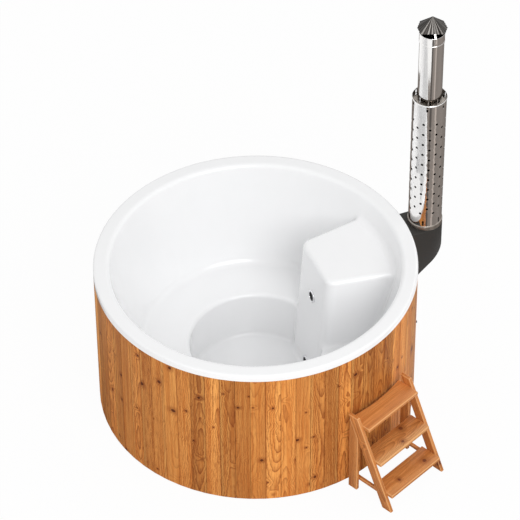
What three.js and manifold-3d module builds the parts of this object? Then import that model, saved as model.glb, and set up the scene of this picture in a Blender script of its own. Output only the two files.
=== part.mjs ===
import * as THREE from "three";
import { mergeVertices } from "three/addons/utils/BufferGeometryUtils.js";
import Module from "manifold-3d";

// A round wood-fired tub: timber wall, moulded liner, stove under a block in the liner, flue and steps.
// Millimetres, +Z up, origin on the ground at the tub's axis, +X through the stove and the flue.
// The wall and the steps each have axes of their own, turned about the tub's axis.

const wasm = await Module();
wasm.setup();

// Where the steps and the first board joint stand, in degrees round the tub from +X
const steps_angle = -65.8;
const first_joint_angle = -19.1;

// Gaps between neighbours and the extra length of cutting tools
const gap = 0.3;
const overrun = 20;

// Timber wall: boards with a groove at each joint, held together in panels
const tub_radius = 1000;
const board_count = 68;
const board_thickness = 25;
const board_ground_gap = 6;
const groove_half_width = 2.5;
const groove_depth = 4;
const panel_board_counts = [9, 8, 9, 8, 9, 8, 9, 8];

// Moulded liner
const rim_height = 1071;
const rim_overhang = 1;
const rim_skirt = 47;
const rim_outer_edge = 9;
const rim_width = 96;
const rim_inner_edge = 30;
const liner_wall = 6;
const seat_height = 390;
const back_rest_run = 177;
const seat_back_fillet = 60;
const well_radius = 420;
const well_edge = 24;
const floor_height = 50;
const floor_radius = 416;
const floor_fillet = 30;

// Block that the liner makes over the stove
const block_drop = 151;
const block_reach = 395;
const block_half_width = 215;
const block_corner = 50;
const block_edge = 36;
const block_lean_share = 0.07;
const block_flare_share = 0.1655;

// Hoops and uprights that carry the boards
const hoop_thickness = 20;
const lower_hoop_height = 50;
const middle_hoop_bottom = 520;
const middle_hoop_height = 60;
const top_hoop_height = 80;
const upright_width = 60;
const upright_depth = 20;
const upright_joint_numbers = [13, 27, 43, 57];

// Bearers under the liner
const bearer_width = 95;
const bearer_places = [-260, 0, 230];
const bearer_end_gap = 7;

// Water jacket
const jacket_inner_end = 440;
const jacket_end_inset = 70;
const jacket_half_width = 165;
const jacket_bottom = 45;
const jacket_top = 500;
const jacket_wall = 4;
const jacket_foot = 40;
const riser_x = 475;
const riser_radius = 30;
const riser_bore = 26;

// Firebox, its openings in the wall and its grate
const firebox_inner_end = 480;
const firebox_half_width = 120;
const firebox_bottom = 100;
const firebox_top = 400;
const firebox_wall = 5;
const ledge_width = 12;
const ledge_height = 6;
const grate_level = 156;
const grate_thickness = 6;
const grate_bar_count = 9;
const grate_end_bar = 30;
const grate_inner_end = 495;
const grate_end_inset = 15;
const wall_opening_gap = 6;

// Stove front, door, gasket and hinge
const front_plate_half_width = 150;
const front_plate_bottom = 64;
const front_plate_top = 446;
const front_plate_standoff = 3;
const front_plate_thickness = 5;
const front_flange_depth = 12;
const door_opening_half_width = 104;
const door_opening_bottom = 174;
const door_opening_top = 376;
const door_overlap = 21;
const door_thickness = 6;
const door_panel_inset = 30;
const door_panel_depth = 5;
const gasket_width = 10;
const gasket_depth = 4.4;
const hinge_offset = 12;
const hinge_radius = 8;
const hinge_pin_radius = 4;
const hinge_knuckle = 26;
const hinge_end = 26;
const hinge_lug = 6;

// Door latch and its keeper
const latch_inset = 13;
const latch_height = 265;
const latch_boss_radius = 9;
const latch_boss_length = 5;
const latch_thickness = 5;
const latch_reach = 26;
const latch_bar = 12;
const latch_grip_reach = 34;
const latch_knob_radius = 8;
const latch_knob_length = 21;
const keeper_gap = 2;
const keeper_post = 6;
const keeper_height = 14;
const keeper_lip = 10;
const keeper_lip_thickness = 5;

// Ash drawer and its air slide
const drawer_half_width = 95;
const drawer_top = 148;
const drawer_inner_end = 600;
const drawer_wall = 3;
const drawer_front_half_width = 112;
const drawer_front_bottom = 96;
const drawer_front_top = 150;
const drawer_front_thickness = 5;
const vent_width = 12;
const vent_height = 20;
const vent_pitch = 32;
const vent_places_shares = [-1, 0, 1];
const slide_thickness = 3;
const slide_side = 9;
const slide_margin = 7;
const rail_height = 4;
const slide_knob_radius = 5;
const slide_knob_length = 12;

// Flue from the firebox through the wall
const flue_radius = 75;
const flue_wall = 2;
const flue_clearance = 1;
const flue_start_inset = 170;
const flue_standoff = 145;
const flue_low_bend = 607;
const flue_high_bend = 890;
const flue_bend_setback = 85;
const elbow_end = 1090;

// Casing outside the wall, and the collar on it
const casing_half_width = 110;
const casing_top = 1021;
const casing_wall = 4;
const casing_foot = 614;
const casing_slope_share = 0.9;
const collar_height = 30;
const collar_wall = 4.4;

// Chimney and its guard
const pipe_joint = 2000;
const pipe_top = 2500;
const guard_radius = 105;
const guard_wall = 2;
const guard_height = 1007;
const guard_bead = 3;
const guard_bead_height = 10;
const guard_hole_radius = 8.5;
const guard_hole_columns = 16;
const guard_hole_phase = 2.5;
const guard_hole_rows = [10, 9];
const guard_hole_starts = [137, 177];
const guard_hole_pitch = 80;
const guard_slot_count = 6;
const guard_slot_phase = -4.5;
const guard_slot_width = 12;
const guard_slot_length = 40;
const guard_slot_end_gap = 8;
const spacer_thickness = 3;
const spacer_sleeve = 3;
const spacer_sleeve_height = 24;
const spacer_window_count = 6;
const spacer_window_width = 44;
const spacer_window_depth = 14;
const spacer_drop = 26;

// Rain cap
const cap_collar_lap = 44;
const cap_collar_rise = 24;
const cap_collar_wall = 3;
const cap_tip_corner = 92;
const cap_side_corner = 73;
const cap_side_depth = 64;
const cap_angle = -22.1;
const cap_brim_rise = 50;
const cap_rise = 87;
const cap_wall = 1.5;
const cap_leg_angles = [-77, 30, 150];
const cap_leg_width = 12;
const cap_leg_thickness = 2;
const cap_leg_lap = 30;
const cap_leg_inset = 30;

// Circulation ports between the tub and the water jacket
const port_y = -14;
const upper_port_height = 652;
const lower_port_height = 95;
const port_flange_radius = 42;
const port_flange_thickness = 9;
const port_flange_round = 4;
const port_mouth_radius = 28.5;
const port_mouth_depth = 5;
const port_neck_radius = 25;
const port_bore_radius = 21;
const port_neck_length = 60;
const grille_inset = 1;
const grille_hole_radius = 4.5;
const grille_hole_circle = 17;
const grille_hole_count = 6;

// Drain
const drain_x = 115;
const drain_flange_radius = 36;
const drain_flange_thickness = 4;
const drain_neck_radius = 22;
const drain_bore_radius = 18;
const drain_bottom = 4;
const drain_bar = 6;
const drain_pipe_level = 18;
const drain_pipe_radius = 14;
const drain_pipe_bore = 11;
const drain_pipe_overhang = 6;
const valve_radius = 16;
const valve_length = 56;
const valve_stem_radius = 5;
const valve_stem_gap = 0.5;
const lever_level = 38;
const lever_thickness = 5;
const lever_width = 16;
const lever_length = 90;

// Steps
const steps_half_width = 248;
const steps_board = 24;
const stringer_heel_run = 292;
const stringer_depth = 73;
const stringer_lean_share = 0.47;
const stringer_top_rise = 55;
const stringer_bevel_width = 30;
const stringer_bevel_height = 60;
const leg_tub_gap = 12;
const leg_depth = 68;
const stretcher_width = 20;
const stretcher_height = 24;
const stretcher_lap = 8;
const tread_thickness = 24;
const tread_depth = 150;
const top_tread_level = 560;
const middle_tread_level = 330;
const bottom_tread_level = 121;
const top_tread_run = 152;
const middle_tread_run = 252;
const bottom_tread_run = 350;
const tread_back_gap = 14;
const tread_nose_round = 6;

// Fineness of round forms
const fine_sides = 32;
const round_sides = 24;
const small_sides = 12;
const hole_sides = 6;
const fillet_steps = 2;
const elbow_steps = 10;
const pipe_sides = 16;
const nose_steps = 8;

// Finishes
const finish = (color, roughness, metalness) => new THREE.MeshStandardMaterial({ color, roughness, metalness });
const liner_finish = finish(0xf1f1f1, 0.15, 0);
const timber_finish = finish(0xc07a3c, 0.6, 0);
const frame_timber_finish = finish(0xd2b48c, 0.8, 0);
const stainless_finish = finish(0xb8b8b6, 0.2, 1);
const stove_finish = finish(0x4a4c4e, 0.6, 1);
const anthracite_finish = finish(0x3a3836, 0.55, 0.3);
const chrome_finish = finish(0xdadada, 0.08, 1);
const black_finish = finish(0x101010, 0.5, 0);
const rope_finish = finish(0x777066, 0.95, 0);
const brass_finish = finish(0xb08d4a, 0.3, 1);

// Angles and the sizes that follow from the driving ones
const radians = THREE.MathUtils.degToRad;
const board_step = (2 * Math.PI) / board_count;
const board_inner_radius = tub_radius - board_thickness;
const rim_radius = tub_radius + rim_overhang;
const rim_inner_radius = rim_radius - rim_width;
const seat_outer_radius = rim_inner_radius - back_rest_run;
const board_top = rim_height - rim_skirt - gap;
const hoop_outer_radius = board_inner_radius - gap;
const hoop_inner_radius = hoop_outer_radius - hoop_thickness;
const bearer_height = floor_height - liner_wall - gap;
const bearer_end_radius = board_inner_radius - bearer_end_gap;
const liner_underside = floor_height - liner_wall;
const top_hoop_top = rim_height - liner_wall - gap;
const block_far_end = tub_radius;
const block_top = rim_height - block_drop;
const lean_angle = Math.atan(block_lean_share);
const jacket_outer_end = tub_radius - jacket_end_inset;
const front_plate_back = tub_radius + front_plate_standoff;
const front_plate_face = front_plate_back + front_plate_thickness;
const door_back = front_plate_face + gasket_depth + 2 * gap;
const door_face = door_back + door_thickness;
const door_half_width = door_opening_half_width + door_overlap;
const door_bottom = door_opening_bottom - hinge_offset;
const door_top = door_opening_top + hinge_offset;
const hinge_x = door_back + door_thickness / 2;
const hinge_y = door_half_width + hinge_offset;
const grate_outer_end = tub_radius - grate_end_inset;
const grate_half_width = firebox_half_width - firebox_wall - gap;
const drawer_bottom = firebox_bottom + firebox_wall + gap;
const drawer_face = front_plate_face + gap + drawer_front_thickness;
const vent_middle = (drawer_front_bottom + drawer_front_top) / 2;
const flue_start = tub_radius - flue_start_inset;
const flue_x = tub_radius + flue_standoff;
const casing_nose_top = casing_top;
const guard_bottom = casing_top + gap;
const guard_top = guard_bottom + guard_height;
const collar_inner_radius = guard_radius + gap;
const cap_collar_bottom = pipe_top - cap_collar_lap;
const cap_collar_top = pipe_top + cap_collar_rise;
const cap_leg_foot = pipe_top - cap_leg_lap;
const cap_brim_height = pipe_top + cap_brim_rise;
const cap_tip_height = cap_brim_height + cap_rise;
const cap_sheet_drop = cap_wall * Math.hypot(1, (cap_tip_height - cap_brim_height) / cap_side_depth);
const drain_pipe_end = tub_radius + drain_pipe_overhang;
const valve_start = drain_pipe_end + gap;
const valve_middle = valve_start + valve_length / 2;
const stringer_heel = tub_radius + stringer_heel_run;
const stringer_toe = stringer_heel + stringer_depth;
const stringer_top = top_tread_level + stringer_top_rise;
const leg_inner_face = tub_radius + leg_tub_gap;
const leg_outer_face = leg_inner_face + leg_depth;
const stretcher_end = stringer_heel + stretcher_lap;
const tread_half_length = steps_half_width - steps_board - gap;

// Mesh and solid helpers

function outward(source) {
  // Merge the corners, drop empty triangles and make the faces point out.
  const bare = source.clone();
  bare.deleteAttribute("normal");
  bare.deleteAttribute("uv");
  const merged = mergeVertices(bare);
  const place = merged.attributes.position;
  const old = merged.index.array;
  const kept = [];
  let volume = 0;
  const a = new THREE.Vector3();
  const b = new THREE.Vector3();
  const c = new THREE.Vector3();
  for (let i = 0; i < old.length; i += 3) {
    const corner = [old[i], old[i + 1], old[i + 2]];
    if (new Set(corner).size === 3) {
      kept.push(...corner);
      a.fromBufferAttribute(place, corner[0]);
      b.fromBufferAttribute(place, corner[1]);
      c.fromBufferAttribute(place, corner[2]);
      volume += a.dot(b.cross(c));
    }
  }
  if (volume < 0) {
    kept.reverse();
  }
  merged.setIndex(kept);
  return merged;
}

function solid(geometry) {
  const closed = outward(geometry);
  return new wasm.Manifold(
    new wasm.Mesh({
      numProp: 3,
      vertProperties: new Float32Array(closed.attributes.position.array),
      triVerts: new Uint32Array(closed.index.array),
    }),
  );
}

function geometryOf(manifold) {
  const mesh = manifold.getMesh();
  const geometry = new THREE.BufferGeometry();
  geometry.setAttribute("position", new THREE.BufferAttribute(new Float32Array(mesh.vertProperties), 3));
  geometry.setIndex(new THREE.BufferAttribute(new Uint32Array(mesh.triVerts), 1));
  geometry.computeVertexNormals();
  return geometry;
}

function joined(...pieces) {
  return geometryOf(pieces.map(solid).reduce((all, piece) => all.add(piece)));
}

function cut(body, ...tools) {
  return geometryOf(tools.map(solid).reduce((rest, tool) => rest.subtract(tool), solid(body)));
}

function common(body, other) {
  return geometryOf(solid(body).intersect(solid(other)));
}

function block(x_range, y_range, z_range) {
  const size = [x_range, y_range, z_range].map(([low, high]) => high - low);
  const middle = [x_range, y_range, z_range].map(([low, high]) => (low + high) / 2);
  return new THREE.BoxGeometry(...size).translate(...middle);
}

// A flat outline in x and y, raised from one level to another.
function prism(outline, low, high) {
  const shape = new THREE.Shape(outline.map(([x, y]) => new THREE.Vector2(x, y)));
  return new THREE.ExtrudeGeometry(shape, { depth: high - low, bevelEnabled: false }).translate(0, 0, low);
}

// A side outline in x and z, running from one y to another.
function sideways(outline, low, high) {
  const shape = new THREE.Shape(outline.map(([x, z]) => new THREE.Vector2(x, z)));
  const slab = new THREE.ExtrudeGeometry(shape, { depth: high - low, bevelEnabled: false });
  return slab.rotateX(Math.PI / 2).translate(0, high, 0);
}

// A closed outline in radius and height, turned about the z axis.
function turning(outline, sides) {
  const profile = [...outline, outline[0]].map(([r, z]) => new THREE.Vector2(r, z));
  return new THREE.LatheGeometry(profile, sides).rotateX(Math.PI / 2);
}

function ring(inner, outer, low, high, sides) {
  return turning([[inner, low], [outer, low], [outer, high], [inner, high]], sides);
}

function rod(radius, low, high, sides) {
  return new THREE.CylinderGeometry(radius, radius, high - low, sides)
    .rotateX(Math.PI / 2)
    .translate(0, 0, (low + high) / 2);
}

function rodAlongX(radius, low, high, sides) {
  return rod(radius, low, high, sides).rotateY(Math.PI / 2);
}

function rodAlongY(radius, low, high, sides) {
  return rod(radius, low, high, sides).rotateX(-Math.PI / 2);
}

function slopedBar(side_length, half_width, angle, x_range) {
  // A bar in a plane across x, from the origin outwards at an angle to +y.
  return block(x_range, [0, side_length], [-half_width, half_width]).rotateX(angle);
}

// Corners as [a, b, radius]; each rounded corner becomes a short arc.
function rounded(corners, steps) {
  const outline = [];
  corners.forEach(([a, b, radius], index) => {
    const before = corners[index - 1];
    const after = corners[index + 1];
    if (!radius || !before || !after) {
      outline.push([a, b]);
      return;
    }
    const here = new THREE.Vector2(a, b);
    const back = new THREE.Vector2(before[0], before[1]).sub(here).normalize();
    const ahead = new THREE.Vector2(after[0], after[1]).sub(here).normalize();
    const half_turn = Math.acos(THREE.MathUtils.clamp(back.dot(ahead), -1, 1)) / 2;
    const centre = back.clone().add(ahead).normalize().multiplyScalar(radius / Math.sin(half_turn)).add(here);
    const start = back.clone().multiplyScalar(radius / Math.tan(half_turn)).add(here).sub(centre);
    const end = ahead.clone().multiplyScalar(radius / Math.tan(half_turn)).add(here).sub(centre);
    const turn = Math.atan2(start.cross(end), start.dot(end));
    for (let i = 0; i <= steps; i += 1) {
      const point = start.clone().rotateAround(new THREE.Vector2(), (turn * i) / steps).add(centre);
      outline.push([point.x, point.y]);
    }
  });
  return outline;
}

// The same open outline, moved sideways to its right by a distance.
function offset(outline, distance) {
  const lines = outline.slice(1).map(([a, b], index) => {
    const [a0, b0] = outline[index];
    const length = Math.hypot(a - a0, b - b0);
    return { a: (a - a0) / length, b: (b - b0) / length };
  });
  return outline.map(([a, b], index) => {
    const before = lines[Math.max(index - 1, 0)];
    const after = lines[Math.min(index, lines.length - 1)];
    const normal = new THREE.Vector2(before.b + after.b, -before.a - after.a).normalize();
    const spread = normal.x * after.b - normal.y * after.a;
    return [a + (normal.x * distance) / spread, b + (normal.y * distance) / spread];
  });
}

// A solid through a stack of counter-clockwise outlines with equal point counts, lowest first.
function loft(levels) {
  const count = levels[0].length;
  const places = levels.flat(2);
  const faces = [];
  for (let level = 0; level + 1 < levels.length; level += 1) {
    for (let i = 0; i < count; i += 1) {
      const low = level * count + i;
      const next = level * count + ((i + 1) % count);
      faces.push(low, next, low + count, next, next + count, low + count);
    }
  }
  const flat = levels[0].map(([x, y]) => new THREE.Vector2(x, y));
  const lid = (levels.length - 1) * count;
  THREE.ShapeUtils.triangulateShape(flat, []).forEach(([i, j, k]) => {
    faces.push(i, k, j, lid + i, lid + j, lid + k);
  });
  const geometry = new THREE.BufferGeometry();
  geometry.setAttribute("position", new THREE.Float32BufferAttribute(places, 3));
  geometry.setIndex(faces);
  return geometry;
}

// A pipe along a path, open at both ends.
function pipeAlong(path, outer, inner, sides, steps) {
  const section = new THREE.Shape();
  section.absarc(0, 0, outer, 0, 2 * Math.PI);
  const bore = new THREE.Path();
  bore.absarc(0, 0, inner, 0, 2 * Math.PI);
  section.holes.push(bore);
  const curveSegments = sides / 2;
  return new THREE.ExtrudeGeometry(section, { extrudePath: path, steps, curveSegments, bevelEnabled: false });
}

function addMesh(group, name, geometry, material) {
  const mesh = new THREE.Mesh(outward(geometry), material);
  mesh.name = name;
  group.add(mesh);
  return mesh;
}

// Liner

function linerOutline() {
  return rounded(
    [
      [0, floor_height, 0],
      [floor_radius, floor_height, floor_fillet],
      [well_radius, seat_height, well_edge],
      [seat_outer_radius, seat_height, seat_back_fillet],
      [rim_inner_radius, rim_height, rim_inner_edge],
      [rim_radius, rim_height, rim_outer_edge],
      [rim_radius, rim_height - rim_skirt, 0],
    ],
    fillet_steps,
  );
}

function linerOuterSolid() {
  const top = linerOutline();
  const underside = offset(top, liner_wall).slice(0, -1);
  const skirt_inside = [rim_radius - liner_wall, rim_height - rim_skirt];
  const rim_points = top.filter(([r]) => r > rim_inner_radius);
  const outline = [...underside, skirt_inside, ...rim_points.slice(1).reverse(), [0, rim_height]];
  return turning(outline, board_count);
}

function linerHollowSolid() {
  const top = linerOutline();
  const last = top.findIndex(([, z], index) => index > 0 && z >= rim_height - gap / 2);
  const inside = top.slice(0, last + 1);
  const mouth = inside[inside.length - 1][0];
  return turning([...inside, [mouth, rim_height + overrun], [0, rim_height + overrun]], board_count);
}

// One level of the block: a straight-sided outline with two round inner corners.
function blockLevel(z, inset) {
  const reach = block_reach - (block_top - z) * block_lean_share + inset;
  const half = block_half_width - inset;
  const far_half = half + (block_far_end - reach) * block_flare_share;
  const corner = Math.max(block_corner - inset, liner_wall);
  const outline = rounded(
    [
      [block_far_end, far_half, 0],
      [reach, half, corner],
      [reach, -half, corner],
      [block_far_end, -far_half, 0],
    ],
    fillet_steps,
  );
  return outline.map(([x, y]) => [x, y, z]);
}

function blockSolid(inset) {
  const levels = [blockLevel(-overrun, inset)];
  for (let i = 0; i <= fillet_steps; i += 1) {
    const turn = ((Math.PI / 2) * i) / fillet_steps;
    const drawn_in = block_edge * (1 - Math.cos(turn));
    levels.push(blockLevel(block_top - inset - block_edge * (1 - Math.sin(turn)), inset + drawn_in));
  }
  return loft(levels);
}

// Turn a piece from the tub's axes into those of the wall.
function inWall(geometry) {
  return geometry.rotateZ(-radians(first_joint_angle));
}

// Move a piece that points along z to a port: z runs from the block's face into the wall.
function portFace(height) {
  return block_reach - (block_top - height) * block_lean_share;
}

function atPort(geometry, height) {
  return geometry.rotateY(Math.PI / 2 + lean_angle).translate(portFace(height), port_y, height);
}

function liner() {
  const air = geometryOf(solid(linerHollowSolid()).subtract(solid(inWall(blockSolid(0)))));
  const shell = cut(linerOuterSolid(), inWall(blockSolid(liner_wall)), air);
  const port_hole = () => rod(port_neck_radius + gap, -overrun, overrun, round_sides);
  const drain_hole = rod(drain_neck_radius + gap, -overrun, floor_height + overrun, round_sides);
  return cut(
    shell,
    inWall(atPort(port_hole(), upper_port_height)),
    inWall(atPort(port_hole(), lower_port_height)),
    inWall(drain_hole.translate(drain_x, 0, 0)),
  );
}

// Timber wall

function panelOutline(first, count) {
  const at = (radius, angle) => [radius * Math.cos(angle), radius * Math.sin(angle)];
  const chamfer = groove_half_width / tub_radius;
  const end_gap = gap / 2 / board_inner_radius;
  const outline = [];
  for (let i = 0; i <= count; i += 1) {
    const joint = (first + i) * board_step;
    const bottom = tub_radius - groove_depth;
    if (i > 0) {
      outline.push(at(tub_radius, joint - chamfer));
    }
    if (i === 0) {
      outline.push(at(bottom, joint + end_gap));
    } else if (i === count) {
      outline.push(at(bottom, joint - end_gap));
    } else {
      outline.push(at(bottom, joint));
    }
    if (i < count) {
      outline.push(at(tub_radius, joint + chamfer));
    }
  }
  for (let i = count; i >= 0; i -= 1) {
    const joint = (first + i) * board_step;
    const shift = i === 0 ? end_gap : -end_gap;
    outline.push(at(board_inner_radius, i === 0 || i === count ? joint + shift : joint));
  }
  return outline;
}

function stoveOpening() {
  const half = firebox_half_width + wall_opening_gap;
  const heights = [firebox_bottom - wall_opening_gap + gap, firebox_top + wall_opening_gap];
  return block([board_inner_radius - overrun, tub_radius + overrun], [-half, half], heights);
}

function flueOpening() {
  const low = casing_foot + casing_wall * 4;
  const slope = Math.atan(casing_slope_share);
  const line = flue_low_bend + (tub_radius - flue_start) * casing_slope_share;
  const high = line + (flue_radius + overrun) / Math.cos(slope);
  const half = flue_radius + wall_opening_gap;
  return block([board_inner_radius - overrun, tub_radius + overrun], [-half, half], [low, high]);
}

function drainOpening() {
  const half = drain_pipe_radius + gap;
  const high = drain_pipe_level + drain_pipe_radius + gap;
  return block([drain_x - half, drain_x + half], [0, tub_radius + overrun], [0, high]);
}

function addWall(group) {
  const tools = [stoveOpening(), flueOpening(), drainOpening()].map(inWall);
  let first = 0;
  panel_board_counts.forEach((count, index) => {
    const panel = prism(panelOutline(first, count), board_ground_gap, board_top);
    addMesh(group, `cladding_panel_${index + 1}`, cut(panel, ...tools), timber_finish);
    first += count;
  });
}

// The hoops have a flat for every two boards.
function hoop(low, height) {
  return ring(hoop_inner_radius, hoop_outer_radius, low, low + height, board_count / 2);
}

function addHoops(group) {
  const levels = {
    lower_hoop: [bearer_height + gap, lower_hoop_height],
    middle_hoop: [middle_hoop_bottom, middle_hoop_height],
    top_hoop: [top_hoop_top - top_hoop_height, top_hoop_height],
  };
  Object.entries(levels).forEach(([name, [low, height]]) => {
    addMesh(group, name, hoop(low, height), frame_timber_finish);
  });
}

function addUprights(group) {
  const face = hoop_inner_radius * Math.cos(board_step) - gap;
  const post = () => {
    const width = [-upright_width / 2, upright_width / 2];
    return block([face - upright_depth, face], width, [bearer_height + gap, top_hoop_top]);
  };
  upright_joint_numbers.forEach((joint, index) => {
    const turn = joint * board_step;
    addMesh(group, `upright_${index + 1}`, post(), frame_timber_finish).rotation.z = turn;
  });
}

function addBearers(group) {
  const names = ["bearer_far", "bearer_middle", "bearer_near"];
  bearer_places.forEach((place, index) => {
    const edge = Math.abs(place) + bearer_width / 2;
    const half = Math.sqrt(bearer_end_radius ** 2 - edge ** 2);
    const width = [place - bearer_width / 2, place + bearer_width / 2];
    addMesh(group, names[index], block(width, [-half, half], [0, bearer_height]), frame_timber_finish);
  });
}

// Stove

function portStub(radius, length) {
  return rod(radius, port_neck_length + gap, length, small_sides);
}

function waterJacket() {
  const outer = [jacket_inner_end, jacket_outer_end];
  const shell = block(outer, [-jacket_half_width, jacket_half_width], [jacket_bottom, jacket_top]);
  const lower_length = jacket_inner_end - portFace(lower_port_height) + jacket_wall * 3;
  const upper_length = riser_x - portFace(upper_port_height);
  const riser_top = upper_port_height + riser_radius;
  const riser = rod(riser_radius, jacket_top - jacket_wall / 2, riser_top, small_sides);
  const feet = [];
  [outer[0], outer[1] - jacket_foot].forEach((x) => {
    [-jacket_half_width, jacket_half_width - jacket_foot].forEach((y) => {
      feet.push(block([x, x + jacket_foot], [y, y + jacket_foot], [0, jacket_bottom + jacket_wall / 2]));
    });
  });
  const body = joined(
    shell,
    riser.translate(riser_x, port_y, 0),
    atPort(portStub(port_neck_radius, lower_length), lower_port_height),
    atPort(portStub(port_neck_radius, upper_length), upper_port_height),
    ...feet,
  );
  const inside = [-jacket_half_width + jacket_wall, jacket_half_width - jacket_wall];
  const cavity = block(
    [outer[0] + jacket_wall, outer[1] - jacket_wall],
    inside,
    [jacket_bottom + jacket_wall, jacket_top - jacket_wall],
  );
  const riser_hollow = rod(riser_bore, jacket_top - overrun, riser_top - jacket_wall, small_sides);
  const bore = (length) => rod(port_bore_radius, port_neck_length - overrun, length, small_sides);
  const half = firebox_half_width + gap;
  const fire_hole = block(
    [jacket_outer_end - overrun, jacket_outer_end + overrun],
    [-half, half],
    [firebox_bottom - gap, firebox_top + gap],
  );
  const flue_hole = rod(flue_radius + flue_clearance, jacket_top - overrun, jacket_top + overrun, pipe_sides);
  return cut(
    body,
    cavity,
    riser_hollow.translate(riser_x, port_y, 0),
    atPort(bore(lower_length + overrun), lower_port_height),
    atPort(bore(upper_length), upper_port_height),
    fire_hole,
    flue_hole.translate(flue_start, 0, 0),
  );
}

function firebox() {
  const half = firebox_half_width;
  const inner = half - firebox_wall;
  const mouth = front_plate_back - gap;
  const shell = block([firebox_inner_end, mouth], [-half, half], [firebox_bottom, firebox_top]);
  const hollow = block(
    [firebox_inner_end + firebox_wall, mouth + overrun],
    [-inner, inner],
    [firebox_bottom + firebox_wall, firebox_top - firebox_wall],
  );
  const flue_hole = rod(flue_radius - flue_wall, firebox_top - overrun, firebox_top + overrun, round_sides);
  const body = cut(shell, hollow, flue_hole.translate(flue_start, 0, 0));
  const ledge = (side) => {
    const edges = [side * (inner - ledge_width), side * (inner + firebox_wall / 2)].sort((a, b) => a - b);
    const levels = [grate_level - gap - ledge_height, grate_level - gap];
    return block([grate_inner_end, grate_outer_end], edges, levels);
  };
  return joined(body, ledge(-1), ledge(1));
}

function grate() {
  const length = [grate_inner_end, grate_outer_end];
  const levels = [grate_level, grate_level + grate_thickness];
  const plate = block(length, [-grate_half_width, grate_half_width], levels);
  const pitch = (2 * grate_half_width) / grate_bar_count;
  const slots = [];
  for (let i = 1; i < grate_bar_count; i += 1) {
    const middle = -grate_half_width + i * pitch;
    const edges = [middle - pitch / 4, middle + pitch / 4];
    const slot_length = [length[0] + grate_end_bar, length[1] - grate_end_bar];
    slots.push(block(slot_length, edges, [levels[0] - overrun, levels[1] + overrun]));
  }
  return cut(plate, ...slots);
}

// Barrels of the door hinge, as heights along the pin.
function knuckleLevels() {
  const lower = door_bottom + hinge_end;
  const upper = door_top - hinge_end;
  return {
    door: [[lower, lower + hinge_knuckle], [upper - hinge_knuckle, upper]],
    plate: [
      [lower - gap - hinge_knuckle, lower - gap],
      [upper + gap, upper + gap + hinge_knuckle],
    ],
  };
}

function knuckle([low, high]) {
  return rod(hinge_radius, low, high, small_sides).translate(hinge_x, hinge_y, 0);
}

function pinHole() {
  const all = [door_bottom - overrun, door_top + overrun];
  return rod(hinge_pin_radius + gap, all[0], all[1], small_sides).translate(hinge_x, hinge_y, 0);
}

function keeper() {
  const y_near = -(door_half_width - latch_inset) - latch_reach - keeper_gap;
  const x_back = front_plate_face - front_plate_thickness / 2;
  const x_lip = door_face + latch_boss_length + latch_thickness + keeper_gap;
  const levels = [latch_height - keeper_height / 2, latch_height + keeper_height / 2];
  const post = block([x_back, x_lip + keeper_lip_thickness], [y_near - keeper_post, y_near], levels);
  const lip = block([x_lip, x_lip + keeper_lip_thickness], [y_near - keeper_post, y_near + keeper_lip], levels);
  return joined(post, lip);
}

function frontPlate() {
  const half = front_plate_half_width;
  const plate_x = [front_plate_back, front_plate_face];
  const plate = block(plate_x, [-half, half], [front_plate_bottom, front_plate_top]);
  const flange = (side) => {
    const edges = [side * (half - front_plate_thickness), side * half].sort((a, b) => a - b);
    const depth = [front_plate_back - front_flange_depth, front_plate_face];
    return block(depth, edges, [front_plate_bottom, front_plate_top]);
  };
  const cut_x = [front_plate_back - overrun, front_plate_face + overrun];
  const door_hole = block(
    cut_x,
    [-door_opening_half_width, door_opening_half_width],
    [door_opening_bottom, door_opening_top],
  );
  const drawer_gap = drawer_half_width + gap;
  const drawer_hole = block(cut_x, [-drawer_gap, drawer_gap], [drawer_bottom - gap, drawer_top + gap]);
  const lugs = knuckleLevels().plate.flatMap((levels) => [
    knuckle(levels),
    block([front_plate_back, hinge_x], [hinge_y - hinge_lug, hinge_y + hinge_lug], levels),
  ]);
  return cut(joined(plate, flange(-1), flange(1), keeper(), ...lugs), door_hole, drawer_hole, pinHole());
}

function gasket() {
  const depth = [front_plate_face + gap, front_plate_face + gap + gasket_depth];
  const inner = door_opening_half_width + gasket_width / 2;
  const outer = inner + gasket_width;
  const rise = gasket_width / 2;
  const low = door_opening_bottom + rise - gasket_width;
  const high = door_opening_top - rise + gasket_width;
  const rope = block(depth, [-outer, outer], [low - rise, high + rise]);
  return cut(rope, block([depth[0] - overrun, depth[1] + overrun], [-inner, inner], [low + rise, high - rise]));
}

function stoveDoor() {
  const half = door_half_width;
  const plate = block([door_back, door_face], [-half, half - hinge_radius / 2], [door_bottom, door_top]);
  const panel = block(
    [door_face - door_thickness / 2, door_face + door_panel_depth],
    [-half + 2 * door_panel_inset, half - door_panel_inset],
    [door_bottom + door_panel_inset, door_top - door_panel_inset],
  );
  const straps = knuckleLevels().door.flatMap((levels) => [
    knuckle(levels),
    block([door_back, door_face], [half - hinge_radius, hinge_y], levels),
  ]);
  return cut(joined(plate, panel, ...straps), pinHole());
}

function hingePin() {
  const { plate } = knuckleLevels();
  const head = rod(hinge_radius, plate[1][1] + gap, plate[1][1] + hinge_radius / 2, small_sides);
  const shank = rod(hinge_pin_radius, plate[0][0], plate[1][1] + hinge_radius / 2, small_sides);
  return joined(shank, head).translate(hinge_x, hinge_y, 0);
}

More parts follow.
